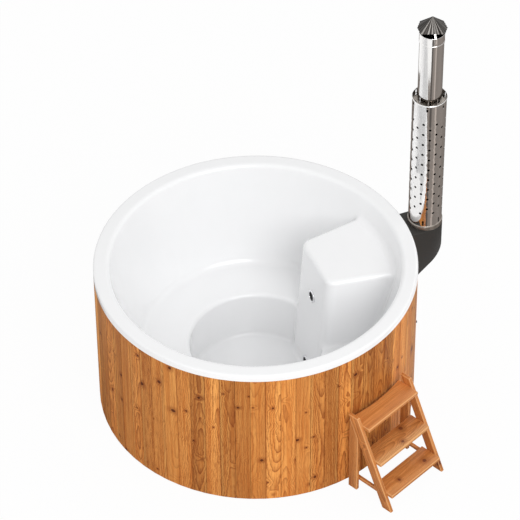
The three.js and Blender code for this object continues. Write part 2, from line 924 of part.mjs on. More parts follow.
// The latch is made about its own pivot, which lies on the x axis.
function latch() {
  const bar_x = [latch_boss_length, latch_boss_length + latch_thickness];
  const boss = rodAlongX(latch_boss_radius, gap, bar_x[1], small_sides);
  const tongue = slopedBar(latch_reach, latch_bar / 2, -Math.PI / 2, bar_x);
  const grip = slopedBar(latch_grip_reach, latch_bar / 2, (3 * Math.PI) / 4, bar_x);
  const knob_place = latch_grip_reach * Math.SQRT1_2;
  const knob = rodAlongX(latch_knob_radius, bar_x[0], bar_x[1] + latch_knob_length, small_sides);
  return joined(boss, tongue, grip, knob.translate(0, -knob_place, knob_place));
}

function ventHoles(x_range, height) {
  return vent_places_shares.map((share) => {
    const middle = share * vent_pitch;
    const edges = [middle - vent_width / 2, middle + vent_width / 2];
    return block(x_range, edges, [vent_middle - height / 2, vent_middle + height / 2]);
  });
}

function ashDrawer() {
  const tray_x = [drawer_inner_end, drawer_face - drawer_front_thickness / 2];
  const tray = block(tray_x, [-drawer_half_width, drawer_half_width], [drawer_bottom, drawer_top]);
  const inner = drawer_half_width - drawer_wall;
  const hollow = block(
    [drawer_inner_end + drawer_wall, front_plate_face - drawer_wall],
    [-inner, inner],
    [drawer_bottom + drawer_wall, drawer_top + overrun],
  );
  const front_x = [drawer_face - drawer_front_thickness, drawer_face];
  const half = drawer_front_half_width;
  const front = block(front_x, [-half, half], [drawer_front_bottom, drawer_front_top]);
  const rail_x = [drawer_face - drawer_front_thickness / 2, drawer_face + slide_thickness + gap];
  const rail = (side) => {
    const middle = vent_middle + side * (vent_height / 2 + slide_margin + rail_height / 2 + gap);
    const levels = [middle - rail_height / 2, middle + rail_height / 2];
    return block(rail_x, [-half + slide_margin, half - slide_margin], levels);
  };
  const vents = ventHoles([front_plate_face - 2 * overrun, drawer_face + overrun], vent_height);
  return cut(joined(tray, front, rail(-1), rail(1)), hollow, ...vents);
}

function airSlide() {
  const plate_x = [drawer_face + gap, drawer_face + gap + slide_thickness];
  const half = vent_pitch + vent_width / 2 + slide_side;
  const rise = vent_height / 2 + slide_margin;
  const plate = block(plate_x, [-half, half], [vent_middle - rise, vent_middle + rise]);
  const knob = rodAlongX(slide_knob_radius, plate_x[0], plate_x[1] + slide_knob_length, small_sides);
  const knob_place = vent_pitch / 2;
  const vents = ventHoles([plate_x[0] - overrun, plate_x[1] + overrun], vent_height);
  return cut(joined(plate, knob.translate(0, knob_place, vent_middle)), ...vents);
}

function addStove(group) {
  addMesh(group, "water_jacket", waterJacket(), stainless_finish);
  addMesh(group, "firebox", firebox(), stove_finish);
  addMesh(group, "fire_grate", grate(), stove_finish);
  addMesh(group, "stove_front_plate", frontPlate(), anthracite_finish);
  addMesh(group, "door_gasket", gasket(), rope_finish);
  addMesh(group, "stove_door", stoveDoor(), anthracite_finish);
  addMesh(group, "hinge_pin", hingePin(), stainless_finish);
  addMesh(group, "ash_drawer", ashDrawer(), anthracite_finish);
  addMesh(group, "air_slide", airSlide(), stainless_finish);
  const handle = addMesh(group, "door_latch", latch(), stainless_finish);
  handle.position.set(door_face, -(door_half_width - latch_inset), latch_height);
}

// Flue, casing and chimney

// The flue's centre line: up, outwards at a slope, and up again.
function flueElbow() {
  const start = new THREE.Vector3(flue_start, 0, firebox_top + gap);
  const low = new THREE.Vector3(flue_start, 0, flue_low_bend);
  const high = new THREE.Vector3(flue_x, 0, flue_high_bend);
  const end = new THREE.Vector3(flue_x, 0, elbow_end);
  const towards = (from, to) => to.clone().sub(from).setLength(flue_bend_setback).add(from);
  const path = new THREE.CurvePath();
  path.add(new THREE.LineCurve3(start, towards(low, start)));
  path.add(new THREE.QuadraticBezierCurve3(towards(low, start), low, towards(low, high)));
  path.add(new THREE.LineCurve3(towards(low, high), towards(high, low)));
  path.add(new THREE.QuadraticBezierCurve3(towards(high, low), high, towards(high, end)));
  path.add(new THREE.LineCurve3(towards(high, end), end));
  return pipeAlong(path, flue_radius, flue_radius - flue_wall, pipe_sides, elbow_steps);
}

// Plan of the casing: straight sides and a round nose about the flue.
function casingPlan(inset) {
  const half = casing_half_width - inset;
  const nose = [];
  for (let i = 0; i <= nose_steps; i += 1) {
    const turn = -Math.PI / 2 + (Math.PI * i) / nose_steps;
    nose.push([flue_x + half * Math.cos(turn), half * Math.sin(turn)]);
  }
  const start = board_inner_radius - overrun;
  return [[start, -half], ...nose, [start, half]];
}

function casingSide(inset, drop) {
  const rise = inset * Math.hypot(1, casing_slope_share);
  const near = board_inner_radius - 2 * overrun;
  const far = flue_x + 2 * casing_half_width;
  const foot = (x) => casing_foot + (x - tub_radius) * casing_slope_share + rise;
  const outline = [[near, foot(near)], [far, foot(far)], [far, casing_top - drop], [near, casing_top - drop]];
  return sideways(outline, -2 * casing_half_width, 2 * casing_half_width);
}

function flueCasing() {
  const low = casing_foot - casing_half_width;
  const outer = common(prism(casingPlan(0), low, casing_nose_top), casingSide(0, 0));
  const inner = common(prism(casingPlan(casing_wall), low, casing_top), casingSide(casing_wall, casing_wall));
  const tub = rod(tub_radius + gap, 0, casing_top + overrun, board_count);
  const hole = rod(flue_radius + flue_clearance, casing_top - overrun, casing_top + overrun, round_sides);
  const turned_tub = tub.rotateZ(radians(first_joint_angle));
  return cut(outer, inner, turned_tub, hole.translate(flue_x, 0, 0));
}

function guardHoles() {
  const holes = [];
  for (let column = 0; column < guard_hole_columns; column += 1) {
    const kind = column % 2;
    const turn = (2 * Math.PI * column) / guard_hole_columns;
    for (let row = 0; row < guard_hole_rows[kind]; row += 1) {
      const level = guard_hole_starts[kind] + row * guard_hole_pitch;
      const reach = [guard_radius - 2 * overrun, guard_radius + overrun];
      holes.push(rodAlongX(guard_hole_radius, reach[0], reach[1], hole_sides).translate(0, 0, level).rotateZ(turn));
    }
  }
  return holes;
}

function guardSlots() {
  const slots = [];
  const half = guard_slot_width / 2;
  const low = collar_height + guard_slot_end_gap;
  const high = guard_height - guard_slot_end_gap;
  for (let i = 0; i < guard_slot_count; i += 1) {
    const turn = radians(guard_slot_phase) + (2 * Math.PI * i) / guard_slot_count;
    [[low, low + guard_slot_length], [high - guard_slot_length, high]].forEach((levels) => {
      const reach = [guard_radius - 2 * overrun, guard_radius + overrun];
      slots.push(block(reach, [-half, half], levels).rotateZ(turn));
    });
  }
  return slots;
}

function guard() {
  const inner = guard_radius - guard_wall;
  const bead = guard_radius + guard_bead;
  const tube = turning(
    [
      [inner, 0],
      [guard_radius, 0],
      [guard_radius, guard_height - guard_bead_height],
      [bead, guard_height - guard_bead_height + guard_bead],
      [bead, guard_height - guard_bead],
      [guard_radius, guard_height],
      [inner, guard_height],
    ],
    fine_sides,
  );
  const facet = Math.PI / fine_sides;
  return cut(tube.rotateZ(facet), ...guardHoles(), ...guardSlots());
}

function guardCollar() {
  const collar = ring(collar_inner_radius, collar_inner_radius + collar_wall, 0, collar_height, fine_sides);
  return collar.rotateZ(Math.PI / fine_sides);
}

// A sleeve round the pipe with a windowed plate that reaches the guard.
function guardSpacer() {
  const outer = guard_radius - guard_wall - 2 * gap;
  const inner = flue_radius + flue_clearance;
  const plate = ring(inner, outer, 0, spacer_thickness, round_sides);
  const sleeve = ring(inner, inner + spacer_sleeve, 0, spacer_sleeve_height, round_sides);
  const windows = [];
  const middle = (inner + spacer_sleeve + outer) / 2;
  for (let i = 0; i < spacer_window_count; i += 1) {
    const across = [middle - spacer_window_depth / 2, middle + spacer_window_depth / 2];
    const along = [-spacer_window_width / 2, spacer_window_width / 2];
    const window = block(across, along, [-overrun, overrun]);
    windows.push(window.rotateZ((2 * Math.PI * i) / spacer_window_count));
  }
  return cut(joined(plate, sleeve), ...windows);
}

function capCollar() {
  const inner = flue_radius + gap;
  return ring(inner, inner + cap_collar_wall, cap_collar_bottom, cap_collar_top, round_sides);
}

// A solid from a flat outline, counter-clockwise, up to one point above the origin.
function pyramid(outline, base, tip) {
  const places = [...outline.flatMap(([x, y]) => [x, y, base]), 0, 0, tip, 0, 0, base];
  const faces = [];
  outline.forEach((corner, index) => {
    const next = (index + 1) % outline.length;
    faces.push(index, next, outline.length, next, index, outline.length + 1);
  });
  const geometry = new THREE.BufferGeometry();
  geometry.setAttribute("position", new THREE.Float32BufferAttribute(places, 3));
  geometry.setIndex(faces);
  return geometry;
}

function capOutline() {
  return [
    [cap_tip_corner, 0],
    [cap_side_corner, cap_side_depth],
    [-cap_side_corner, cap_side_depth],
    [-cap_tip_corner, 0],
    [-cap_side_corner, -cap_side_depth],
    [cap_side_corner, -cap_side_depth],
  ];
}

// The cap is one sheet with a crease to each of its six corners.
function rainCap() {
  const outer = pyramid(capOutline(), cap_brim_height, cap_tip_height);
  const inner = pyramid(capOutline(), cap_brim_height - cap_sheet_drop, cap_tip_height - cap_sheet_drop);
  return cut(outer, inner);
}

// How fast the cap falls outwards in a direction, and how fast across it.
function capFall(direction) {
  const outline = capOutline();
  const toward = new THREE.Vector2(Math.cos(direction), Math.sin(direction));
  const falls = outline.map(([x, y], index) => {
    const [next_x, next_y] = outline[(index + 1) % outline.length];
    const normal = new THREE.Vector2(next_y - y, x - next_x).normalize();
    const fall = normal.clone().multiplyScalar((cap_tip_height - cap_brim_height) / (normal.x * x + normal.y * y));
    return { out: fall.dot(toward), across: Math.abs(fall.cross(toward)) };
  });
  return falls.reduce((steepest, fall) => (fall.out > steepest.out ? fall : steepest));
}

// A strap up the collar, bent in under the cap.
function capLeg(direction) {
  const { out, across } = capFall(direction);
  const x = flue_radius + cap_collar_wall + 2 * gap;
  const far = x + cap_leg_thickness;
  const tip = x - cap_leg_inset;
  const top_at_axis = cap_tip_height - cap_sheet_drop - (across * cap_leg_width) / 2 - 2 * gap;
  const strap_drop = cap_leg_thickness * Math.hypot(1, out);
  const outline = [
    [x, cap_leg_foot],
    [far, cap_leg_foot],
    [far, top_at_axis - out * far],
    [tip, top_at_axis - out * tip],
    [tip, top_at_axis - out * tip - strap_drop],
    [x, top_at_axis - out * x - strap_drop],
  ];
  return sideways(outline, -cap_leg_width / 2, cap_leg_width / 2);
}

function addChimney(group) {
  const stack = new THREE.Group();
  stack.position.x = flue_x;
  group.add(stack);
  addMesh(group, "flue_elbow", flueElbow(), stainless_finish);
  addMesh(group, "flue_casing", flueCasing(), anthracite_finish);
  const pipe_inner = flue_radius - flue_wall;
  const lower = ring(pipe_inner, flue_radius, elbow_end + gap, pipe_joint, round_sides);
  const upper = ring(pipe_inner, flue_radius, pipe_joint + gap, pipe_top, round_sides);
  addMesh(stack, "lower_flue_pipe", lower, stainless_finish);
  addMesh(stack, "upper_flue_pipe", upper, stainless_finish);
  [["guard_collar", guardCollar()], ["perforated_guard", guard()]].forEach(([name, shape]) => {
    const tube = addMesh(stack, name, shape, stainless_finish);
    tube.position.z = guard_bottom;
    tube.rotation.z = radians(guard_hole_phase);
  });
  addMesh(stack, "lower_guard_spacer", guardSpacer(), stainless_finish).position.z = guard_bottom;
  const top_spacer = addMesh(stack, "upper_guard_spacer", guardSpacer().rotateX(Math.PI), stainless_finish);
  top_spacer.position.z = guard_top - spacer_drop;
  addMesh(stack, "cap_collar", capCollar(), stainless_finish);
  addMesh(stack, "rain_cap", rainCap(), stainless_finish).rotation.z = radians(cap_angle);
  cap_leg_angles.forEach((angle, index) => {
    const leg = addMesh(stack, `cap_leg_${index + 1}`, capLeg(radians(angle)), stainless_finish);
    leg.rotation.z = radians(cap_angle + angle);
  });
}

// Circulation ports

function portRing() {
  const face = -gap - port_flange_thickness;
  const outline = [
    [port_bore_radius, port_neck_length],
    [port_neck_radius, port_neck_length],
    [port_neck_radius, -gap],
    [port_flange_radius, -gap],
    [port_flange_radius, face + port_flange_round],
    [port_flange_radius - port_flange_round, face],
    [port_mouth_radius, face],
    [port_mouth_radius, face + port_mouth_depth],
    [port_bore_radius, face + port_mouth_depth],
  ];
  return turning(outline, round_sides);
}

function portGrille() {
  const back = -gap - port_flange_thickness + port_mouth_depth - gap;
  const front = -gap - port_flange_thickness + grille_inset;
  const disc = rod(port_mouth_radius - gap, front, back, round_sides);
  const holes = [rod(grille_hole_radius, front - overrun, back + overrun, hole_sides)];
  for (let i = 0; i < grille_hole_count; i += 1) {
    const hole = rod(grille_hole_radius, front - overrun, back + overrun, hole_sides);
    holes.push(hole.translate(grille_hole_circle, 0, 0).rotateZ((2 * Math.PI * i) / grille_hole_count));
  }
  return cut(disc, ...holes);
}

function addPorts(group) {
  const heights = { upper: upper_port_height, lower: lower_port_height };
  Object.entries(heights).forEach(([name, height]) => {
    addMesh(group, `${name}_port_ring`, atPort(portRing(), height), chrome_finish);
    addMesh(group, `${name}_port_grille`, atPort(portGrille(), height), black_finish);
  });
}

// Drain

function floorDrain() {
  const top = floor_height + gap + drain_flange_thickness;
  const cup = turning(
    [
      [0, drain_bottom],
      [drain_neck_radius, drain_bottom],
      [drain_neck_radius, floor_height + gap],
      [drain_flange_radius, floor_height + gap],
      [drain_flange_radius, top - drain_flange_thickness / 2],
      [drain_flange_radius - drain_flange_thickness / 2, top],
      [0, top],
    ],
    pipe_sides,
  );
  const well = rod(drain_bore_radius, drain_bottom + drain_flange_thickness, top + overrun, pipe_sides);
  const outlet = rodAlongY(drain_pipe_bore, 0, drain_neck_radius + overrun, small_sides);
  const bar = (x_half, y_half) => {
    return block([-x_half, x_half], [-y_half, y_half], [top - drain_flange_thickness, top]);
  };
  const reach = drain_bore_radius + drain_bar / 2;
  const body = cut(cup, well, outlet.translate(0, 0, drain_pipe_level));
  return joined(body, bar(reach, drain_bar / 2), bar(drain_bar / 2, reach));
}

function drainPipe() {
  const length = drain_pipe_end - drain_neck_radius - gap;
  const pipe = ring(drain_pipe_bore, drain_pipe_radius, 0, length, small_sides);
  return pipe.rotateX(-Math.PI / 2).translate(0, drain_neck_radius + gap, drain_pipe_level);
}

function drainValve() {
  const body = rodAlongY(valve_radius, valve_start, valve_start + valve_length, small_sides);
  const bore = rodAlongY(drain_pipe_bore, valve_start - overrun, valve_start + valve_length + overrun, small_sides);
  const stem_hole = rod(valve_stem_radius + valve_stem_gap, drain_pipe_level, lever_level + overrun, small_sides);
  const boss = rod(valve_radius / 2 + valve_stem_radius, drain_pipe_level, lever_level - gap, small_sides);
  const shape = joined(body.translate(0, 0, drain_pipe_level), boss.translate(0, valve_middle, 0));
  return cut(shape, bore.translate(0, 0, drain_pipe_level), stem_hole.translate(0, valve_middle, 0));
}

// The lever is made about its stem, which stands on the z axis.
function drainLever() {
  const stem_foot = drain_pipe_level + valve_stem_radius;
  const stem = rod(valve_stem_radius, stem_foot, lever_level + lever_thickness, small_sides);
  const half = lever_width / 2;
  const arm = block([-lever_length, half], [-half, half], [lever_level, lever_level + lever_thickness]);
  return joined(stem, arm);
}

function addDrain(group) {
  addMesh(group, "floor_drain", floorDrain(), stainless_finish).position.x = drain_x;
  addMesh(group, "drain_pipe", drainPipe(), black_finish).position.x = drain_x;
  addMesh(group, "drain_valve", drainValve(), brass_finish).position.x = drain_x;
  addMesh(group, "drain_lever", drainLever(), black_finish).position.set(drain_x, valve_middle, 0);
}

// Steps

function stringerX(foot, z) {
  return foot - z * stringer_lean_share;
}

function stringer() {
  const bevel_start = stringer_top - stringer_bevel_height;
  const front = stringerX(stringer_toe, bevel_start);
  const outline = [
    [stringer_heel, 0],
    [stringer_toe, 0],
    [front, bevel_start],
    [front - stringer_bevel_width, stringer_top],
    [stringerX(stringer_heel, stringer_top), stringer_top],
  ];
  return sideways(outline, -steps_board / 2, steps_board / 2);
}

function rearLeg() {
  const seam = gap * Math.hypot(1, 1 / stringer_lean_share);
  const top_at = (x) => (stringer_heel - x) / stringer_lean_share - seam;
  const outline = [
    [leg_inner_face, 0],
    [leg_outer_face, 0],
    [leg_outer_face, top_at(leg_outer_face)],
    [leg_inner_face, top_at(leg_inner_face)],
  ];
  return sideways(outline, -steps_board / 2, steps_board / 2);
}

// A rail on the inner side of the leg and the stringer, under the bottom tread.
function stretcher(side) {
  const top = bottom_tread_level - tread_thickness - gap;
  const edges = [side * (tread_half_length - stretcher_width), side * tread_half_length].sort((a, b) => a - b);
  return block([leg_inner_face, stretcher_end], edges, [top - stretcher_height, top]);
}

function tread(level, nose) {
  const outline = rounded(
    [
      [nose - tread_depth - overrun, level - tread_thickness, 0],
      [nose, level - tread_thickness, 0],
      [nose, level, tread_nose_round],
      [nose - tread_depth - overrun, level, 0],
    ],
    fillet_steps,
  );
  return sideways(outline, -tread_half_length, tread_half_length);
}

function addSteps(group) {
  const side_middle = steps_half_width - steps_board / 2;
  [["left", -1], ["right", 1]].forEach(([name, side]) => {
    addMesh(group, `${name}_stringer`, stringer(), timber_finish).position.y = side * side_middle;
    addMesh(group, `${name}_rear_leg`, rearLeg(), timber_finish).position.y = side * side_middle;
    addMesh(group, `${name}_stretcher`, stretcher(side), timber_finish);
  });
  const behind = 2 * tread_half_length;
  const treads = [
    ["top", top_tread_level, top_tread_run],
    ["middle", middle_tread_level, middle_tread_run],
    ["bottom", bottom_tread_level, bottom_tread_run],
  ];
  treads.forEach(([name, level, run]) => {
    const nose = tub_radius + run;
    const levels = [level - overrun - tread_thickness, level + overrun];
    const tub = rod(tub_radius + tread_back_gap, levels[0], levels[1], board_count);
    const back = block([0, nose - tread_depth], [-behind, behind], levels);
    const tool = name === "top" ? tub : back;
    addMesh(group, `${name}_tread`, cut(tread(level, nose), tool), timber_finish);
  });
}

// The whole tub

const tub = new THREE.Group();

const wall_group = new THREE.Group();
wall_group.rotation.z = radians(first_joint_angle);
addMesh(wall_group, "liner", liner(), liner_finish);
addWall(wall_group);
addHoops(wall_group);
addUprights(wall_group);
tub.add(wall_group);

addBearers(tub);
addStove(tub);
addChimney(tub);
addPorts(tub);
addDrain(tub);

const steps_group = new THREE.Group();
steps_group.rotation.z = radians(steps_angle);
addSteps(steps_group);
tub.add(steps_group);

export default tub;
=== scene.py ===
"""Dressed model of a wood-fired tub with its stove, chimney and steps, fitted round the CAD frame."""

import logging
import math
import random
from collections.abc import Callable, Iterable, Sequence
from dataclasses import dataclass, field
from enum import Enum
from itertools import product

import bmesh
import bpy
import numpy as np
from mathutils import Matrix, Vector


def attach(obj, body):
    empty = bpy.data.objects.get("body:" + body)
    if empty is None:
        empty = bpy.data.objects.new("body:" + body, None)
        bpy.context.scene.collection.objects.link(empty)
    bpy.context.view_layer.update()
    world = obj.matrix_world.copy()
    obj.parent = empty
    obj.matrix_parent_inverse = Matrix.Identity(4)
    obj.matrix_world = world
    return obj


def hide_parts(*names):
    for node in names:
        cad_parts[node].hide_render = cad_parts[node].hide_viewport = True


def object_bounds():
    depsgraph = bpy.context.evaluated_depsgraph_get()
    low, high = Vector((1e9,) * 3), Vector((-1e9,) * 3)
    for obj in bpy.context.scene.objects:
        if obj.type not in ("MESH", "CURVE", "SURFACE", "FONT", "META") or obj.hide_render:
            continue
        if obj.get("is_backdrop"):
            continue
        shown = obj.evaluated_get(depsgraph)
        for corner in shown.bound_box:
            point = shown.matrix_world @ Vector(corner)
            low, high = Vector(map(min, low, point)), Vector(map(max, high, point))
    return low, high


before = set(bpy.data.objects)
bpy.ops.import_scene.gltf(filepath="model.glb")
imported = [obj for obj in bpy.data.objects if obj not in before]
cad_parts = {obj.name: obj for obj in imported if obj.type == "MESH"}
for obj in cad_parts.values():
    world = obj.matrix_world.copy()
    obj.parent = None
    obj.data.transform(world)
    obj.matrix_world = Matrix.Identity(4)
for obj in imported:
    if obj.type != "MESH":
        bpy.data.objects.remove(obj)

CAD_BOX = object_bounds()

Colour = tuple[float, float, float]
Place = tuple[float, float, float]
Outline = list[tuple[float, float]]
Faces = list[tuple[int, ...]]
Piece = bpy.types.Object
Socket = bpy.types.NodeSocket
Sockets = dict[str, Socket]

FIGURE_COLOURS = ("Light", "Middle", "Dark", "Sap", "Knot")
FIGURE_NUMBERS = ("Knot Share", "Ring Spacing", "Ring Strength", "Flame Strength", "Half Width", "Sap Start")

log = logging.getLogger("tub")


class Body(Enum):
    """CAD bodies that the pieces ride on."""

    TUB = "tub"
    DOOR = "stove_door_leaf"
    LATCH = "latch_handle"
    DRAWER = "ash_drawer_box"
    SLIDE = "air_slide_plate"
    LEVER = "drain_lever_arm"
    STEPS = "steps"


class Slot(Enum):
    """Material slots, each with its finish."""

    ACRYLIC = "liner_acrylic"
    CLADDING = "cladding_pine"
    STEP = "step_pine"
    FRAME = "frame_timber"
    STOVE = "stove_steel"
    STAINLESS = "stainless"
    COAT = "anthracite_coat"
    CHROME = "chrome_plate"
    PLASTIC = "black_plastic"
    ROPE = "gasket_rope"
    BRASS = "valve_brass"


def tint(red: int, green: int, blue: int) -> Colour:
    """Give the linear colour of a shade written in steps of 0 to 255.

    Args:
        red: Red share, 0 to 255.
        green: Green share, 0 to 255.
        blue: Blue share, 0 to 255.

    Returns:
        The three linear shares, 0 to 1.
    """
    shares = [share / 255 for share in (red, green, blue)]
    low, high = 0.04045, 2.4
    linear = [s / 12.92 if s <= low else ((s + 0.055) / 1.055) ** high for s in shares]
    return linear[0], linear[1], linear[2]


class Graph:
    """Adds nodes and links to one shader tree."""

    def __init__(self, tree: bpy.types.NodeTree) -> None:
        """Keep the tree that the nodes go into."""
        self.tree = tree

    def link(self, value: object, socket: Socket) -> None:
        """Link a socket to another, or set a plain value on it.

        Args:
            value: An output socket, a number, a vector, a colour or None for no change.
            socket: The input socket.
        """
        if isinstance(value, Socket):
            self.tree.links.new(value, socket)
        elif value is not None:
            if socket.type == "RGBA" and not isinstance(value, (int, float)) and len(value) == 3:
                value = (*value, 1.0)
            socket.default_value = value

    def node(self, kind: str, inputs: dict | None = None, **settings: object) -> bpy.types.Node:
        """Add a node.

        Args:
            kind: The node's type name after "ShaderNode".
            inputs: Values or sockets by input name or index.
            **settings: Attributes set on the node.

        Returns:
            The new node.
        """
        made = self.tree.nodes.new("ShaderNode" + kind)
        for name, value in settings.items():
            setattr(made, name, value)
        for name, value in (inputs or {}).items():
            self.link(value, made.inputs[name])
        return made

    def math(self, operation: str, *values: object, clamp: bool = False) -> Socket:
        """Add a Math node with its inputs in order and give its result."""
        made = self.node("Math", dict(enumerate(values)), operation=operation, use_clamp=clamp)
        return made.outputs[0]

    def times(self, first: object, second: object) -> Socket:
        """Multiply two values."""
        return self.math("MULTIPLY", first, second)

    def times_plus(self, first: object, second: object, more: object) -> Socket:
        """Multiply two values and add a third."""
        return self.math("MULTIPLY_ADD", first, second, more)

    def vector(self, operation: str, *values: object) -> Socket:
        """Add a Vector Math node with its inputs in order and give its vector result."""
        made = self.node("VectorMath", dict(enumerate(values)), operation=operation)
        return made.outputs[0]

    def mix(self, share: object, first: object, second: object, blend: str = "MIX") -> Socket:
        """Blend two colours.

        Args:
            share: How much of the second shows.
            first: The first colour.
            second: The second colour.
            blend: The blend type.

        Returns:
            The blended colour socket.
        """
        inputs = {0: share, 6: first, 7: second}
        made = self.node("Mix", inputs, data_type="RGBA", blend_type=blend)
        return made.outputs[2]

    def between(
        self, value: object, low: object, high: object, first: object = 0.0, last: object = 1.0
    ) -> Socket:
        """Map a value smoothly from the range low to high on to the range first to last."""
        inputs = {0: value, 1: low, 2: high, 3: first, 4: last}
        return self.node("MapRange", inputs, interpolation_type="SMOOTHSTEP").outputs[0]

    def noise(self, place: object, scale: float, detail: float = 2.0, roughness: float = 0.5) -> Socket:
        """Add a noise texture and give its value."""
        inputs = {"Vector": place, "Scale": scale, "Detail": detail, "Roughness": roughness}
        return self.node("TexNoise", inputs).outputs[0]

    def grain(self, place: object, density: Place, detail: float = 1.0, roughness: float = 0.5) -> Socket:
        """Add a noise texture with a density of its own along each axis."""
        return self.noise(self.vector("MULTIPLY", place, density), 1.0, detail, roughness)

    def drawn(self, seed: object, factor: float) -> Socket:
        """Draw another value from 0 to 1 out of a seed."""
        return self.math("FRACT", self.times(seed, factor))

    def centred(self, value: object, width: float) -> Socket:
        """Spread a value from 0 to 1 over a width round 0."""
        return self.times(self.math("SUBTRACT", value, 0.5), width)

    def triple(self, kind: str, value: object) -> Socket:
        """Give a vector or colour whose three parts are one value."""
        return self.node(kind, {0: value, 1: value, 2: value}).outputs[0]

    def attribute(self, name: str, output: str = "Fac") -> Socket:
        """Read a value that is stored on the mesh."""
        return self.node("Attribute", attribute_name=name).outputs[output]

    def bump(self, shader: bpy.types.Node, height: Socket, distance: float, strength: float = 1.0) -> None:
        """Give a shader a bump of some height."""
        bump = self.node("Bump", {"Distance": distance, "Strength": strength, "Height": height})
        self.link(bump.outputs[0], shader.inputs["Normal"])


Filler = Callable[[Graph, Sockets], Sockets]


def shader_group(
    name: str, inputs: dict[str, object], outputs: dict[str, str], fill: Filler
) -> bpy.types.NodeTree:
    """Make a shader node group once.

    Args:
        name: The group's name.
        inputs: Default value of each named input.
        outputs: Socket type of each named output.
        fill: Called with the graph and the input sockets, returns the output sockets by name.

    Returns:
        The node group.
    """
    kept = bpy.data.node_groups.get(name)
    if kept:
        return kept
    tree = bpy.data.node_groups.new(name, "ShaderNodeTree")
    for label, value in inputs.items():
        kind = "Float" if isinstance(value, (int, float)) else "Vector" if value is None else "Color"
        socket = tree.interface.new_socket(name=label, in_out="INPUT", socket_type="NodeSocket" + kind)
        if kind == "Float":
            socket.default_value = value
        elif kind == "Color":
            socket.default_value = (*value, 1.0)
    for label, kind in outputs.items():
        tree.interface.new_socket(name=label, in_out="OUTPUT", socket_type="NodeSocket" + kind)
    graph = Graph(tree)
    entry = tree.nodes.new("NodeGroupInput")
    results = fill(graph, {label: entry.outputs[label] for label in inputs})
    leave = tree.nodes.new("NodeGroupOutput")
    for label, socket in results.items():
        tree.links.new(socket, leave.inputs[label])
    return tree


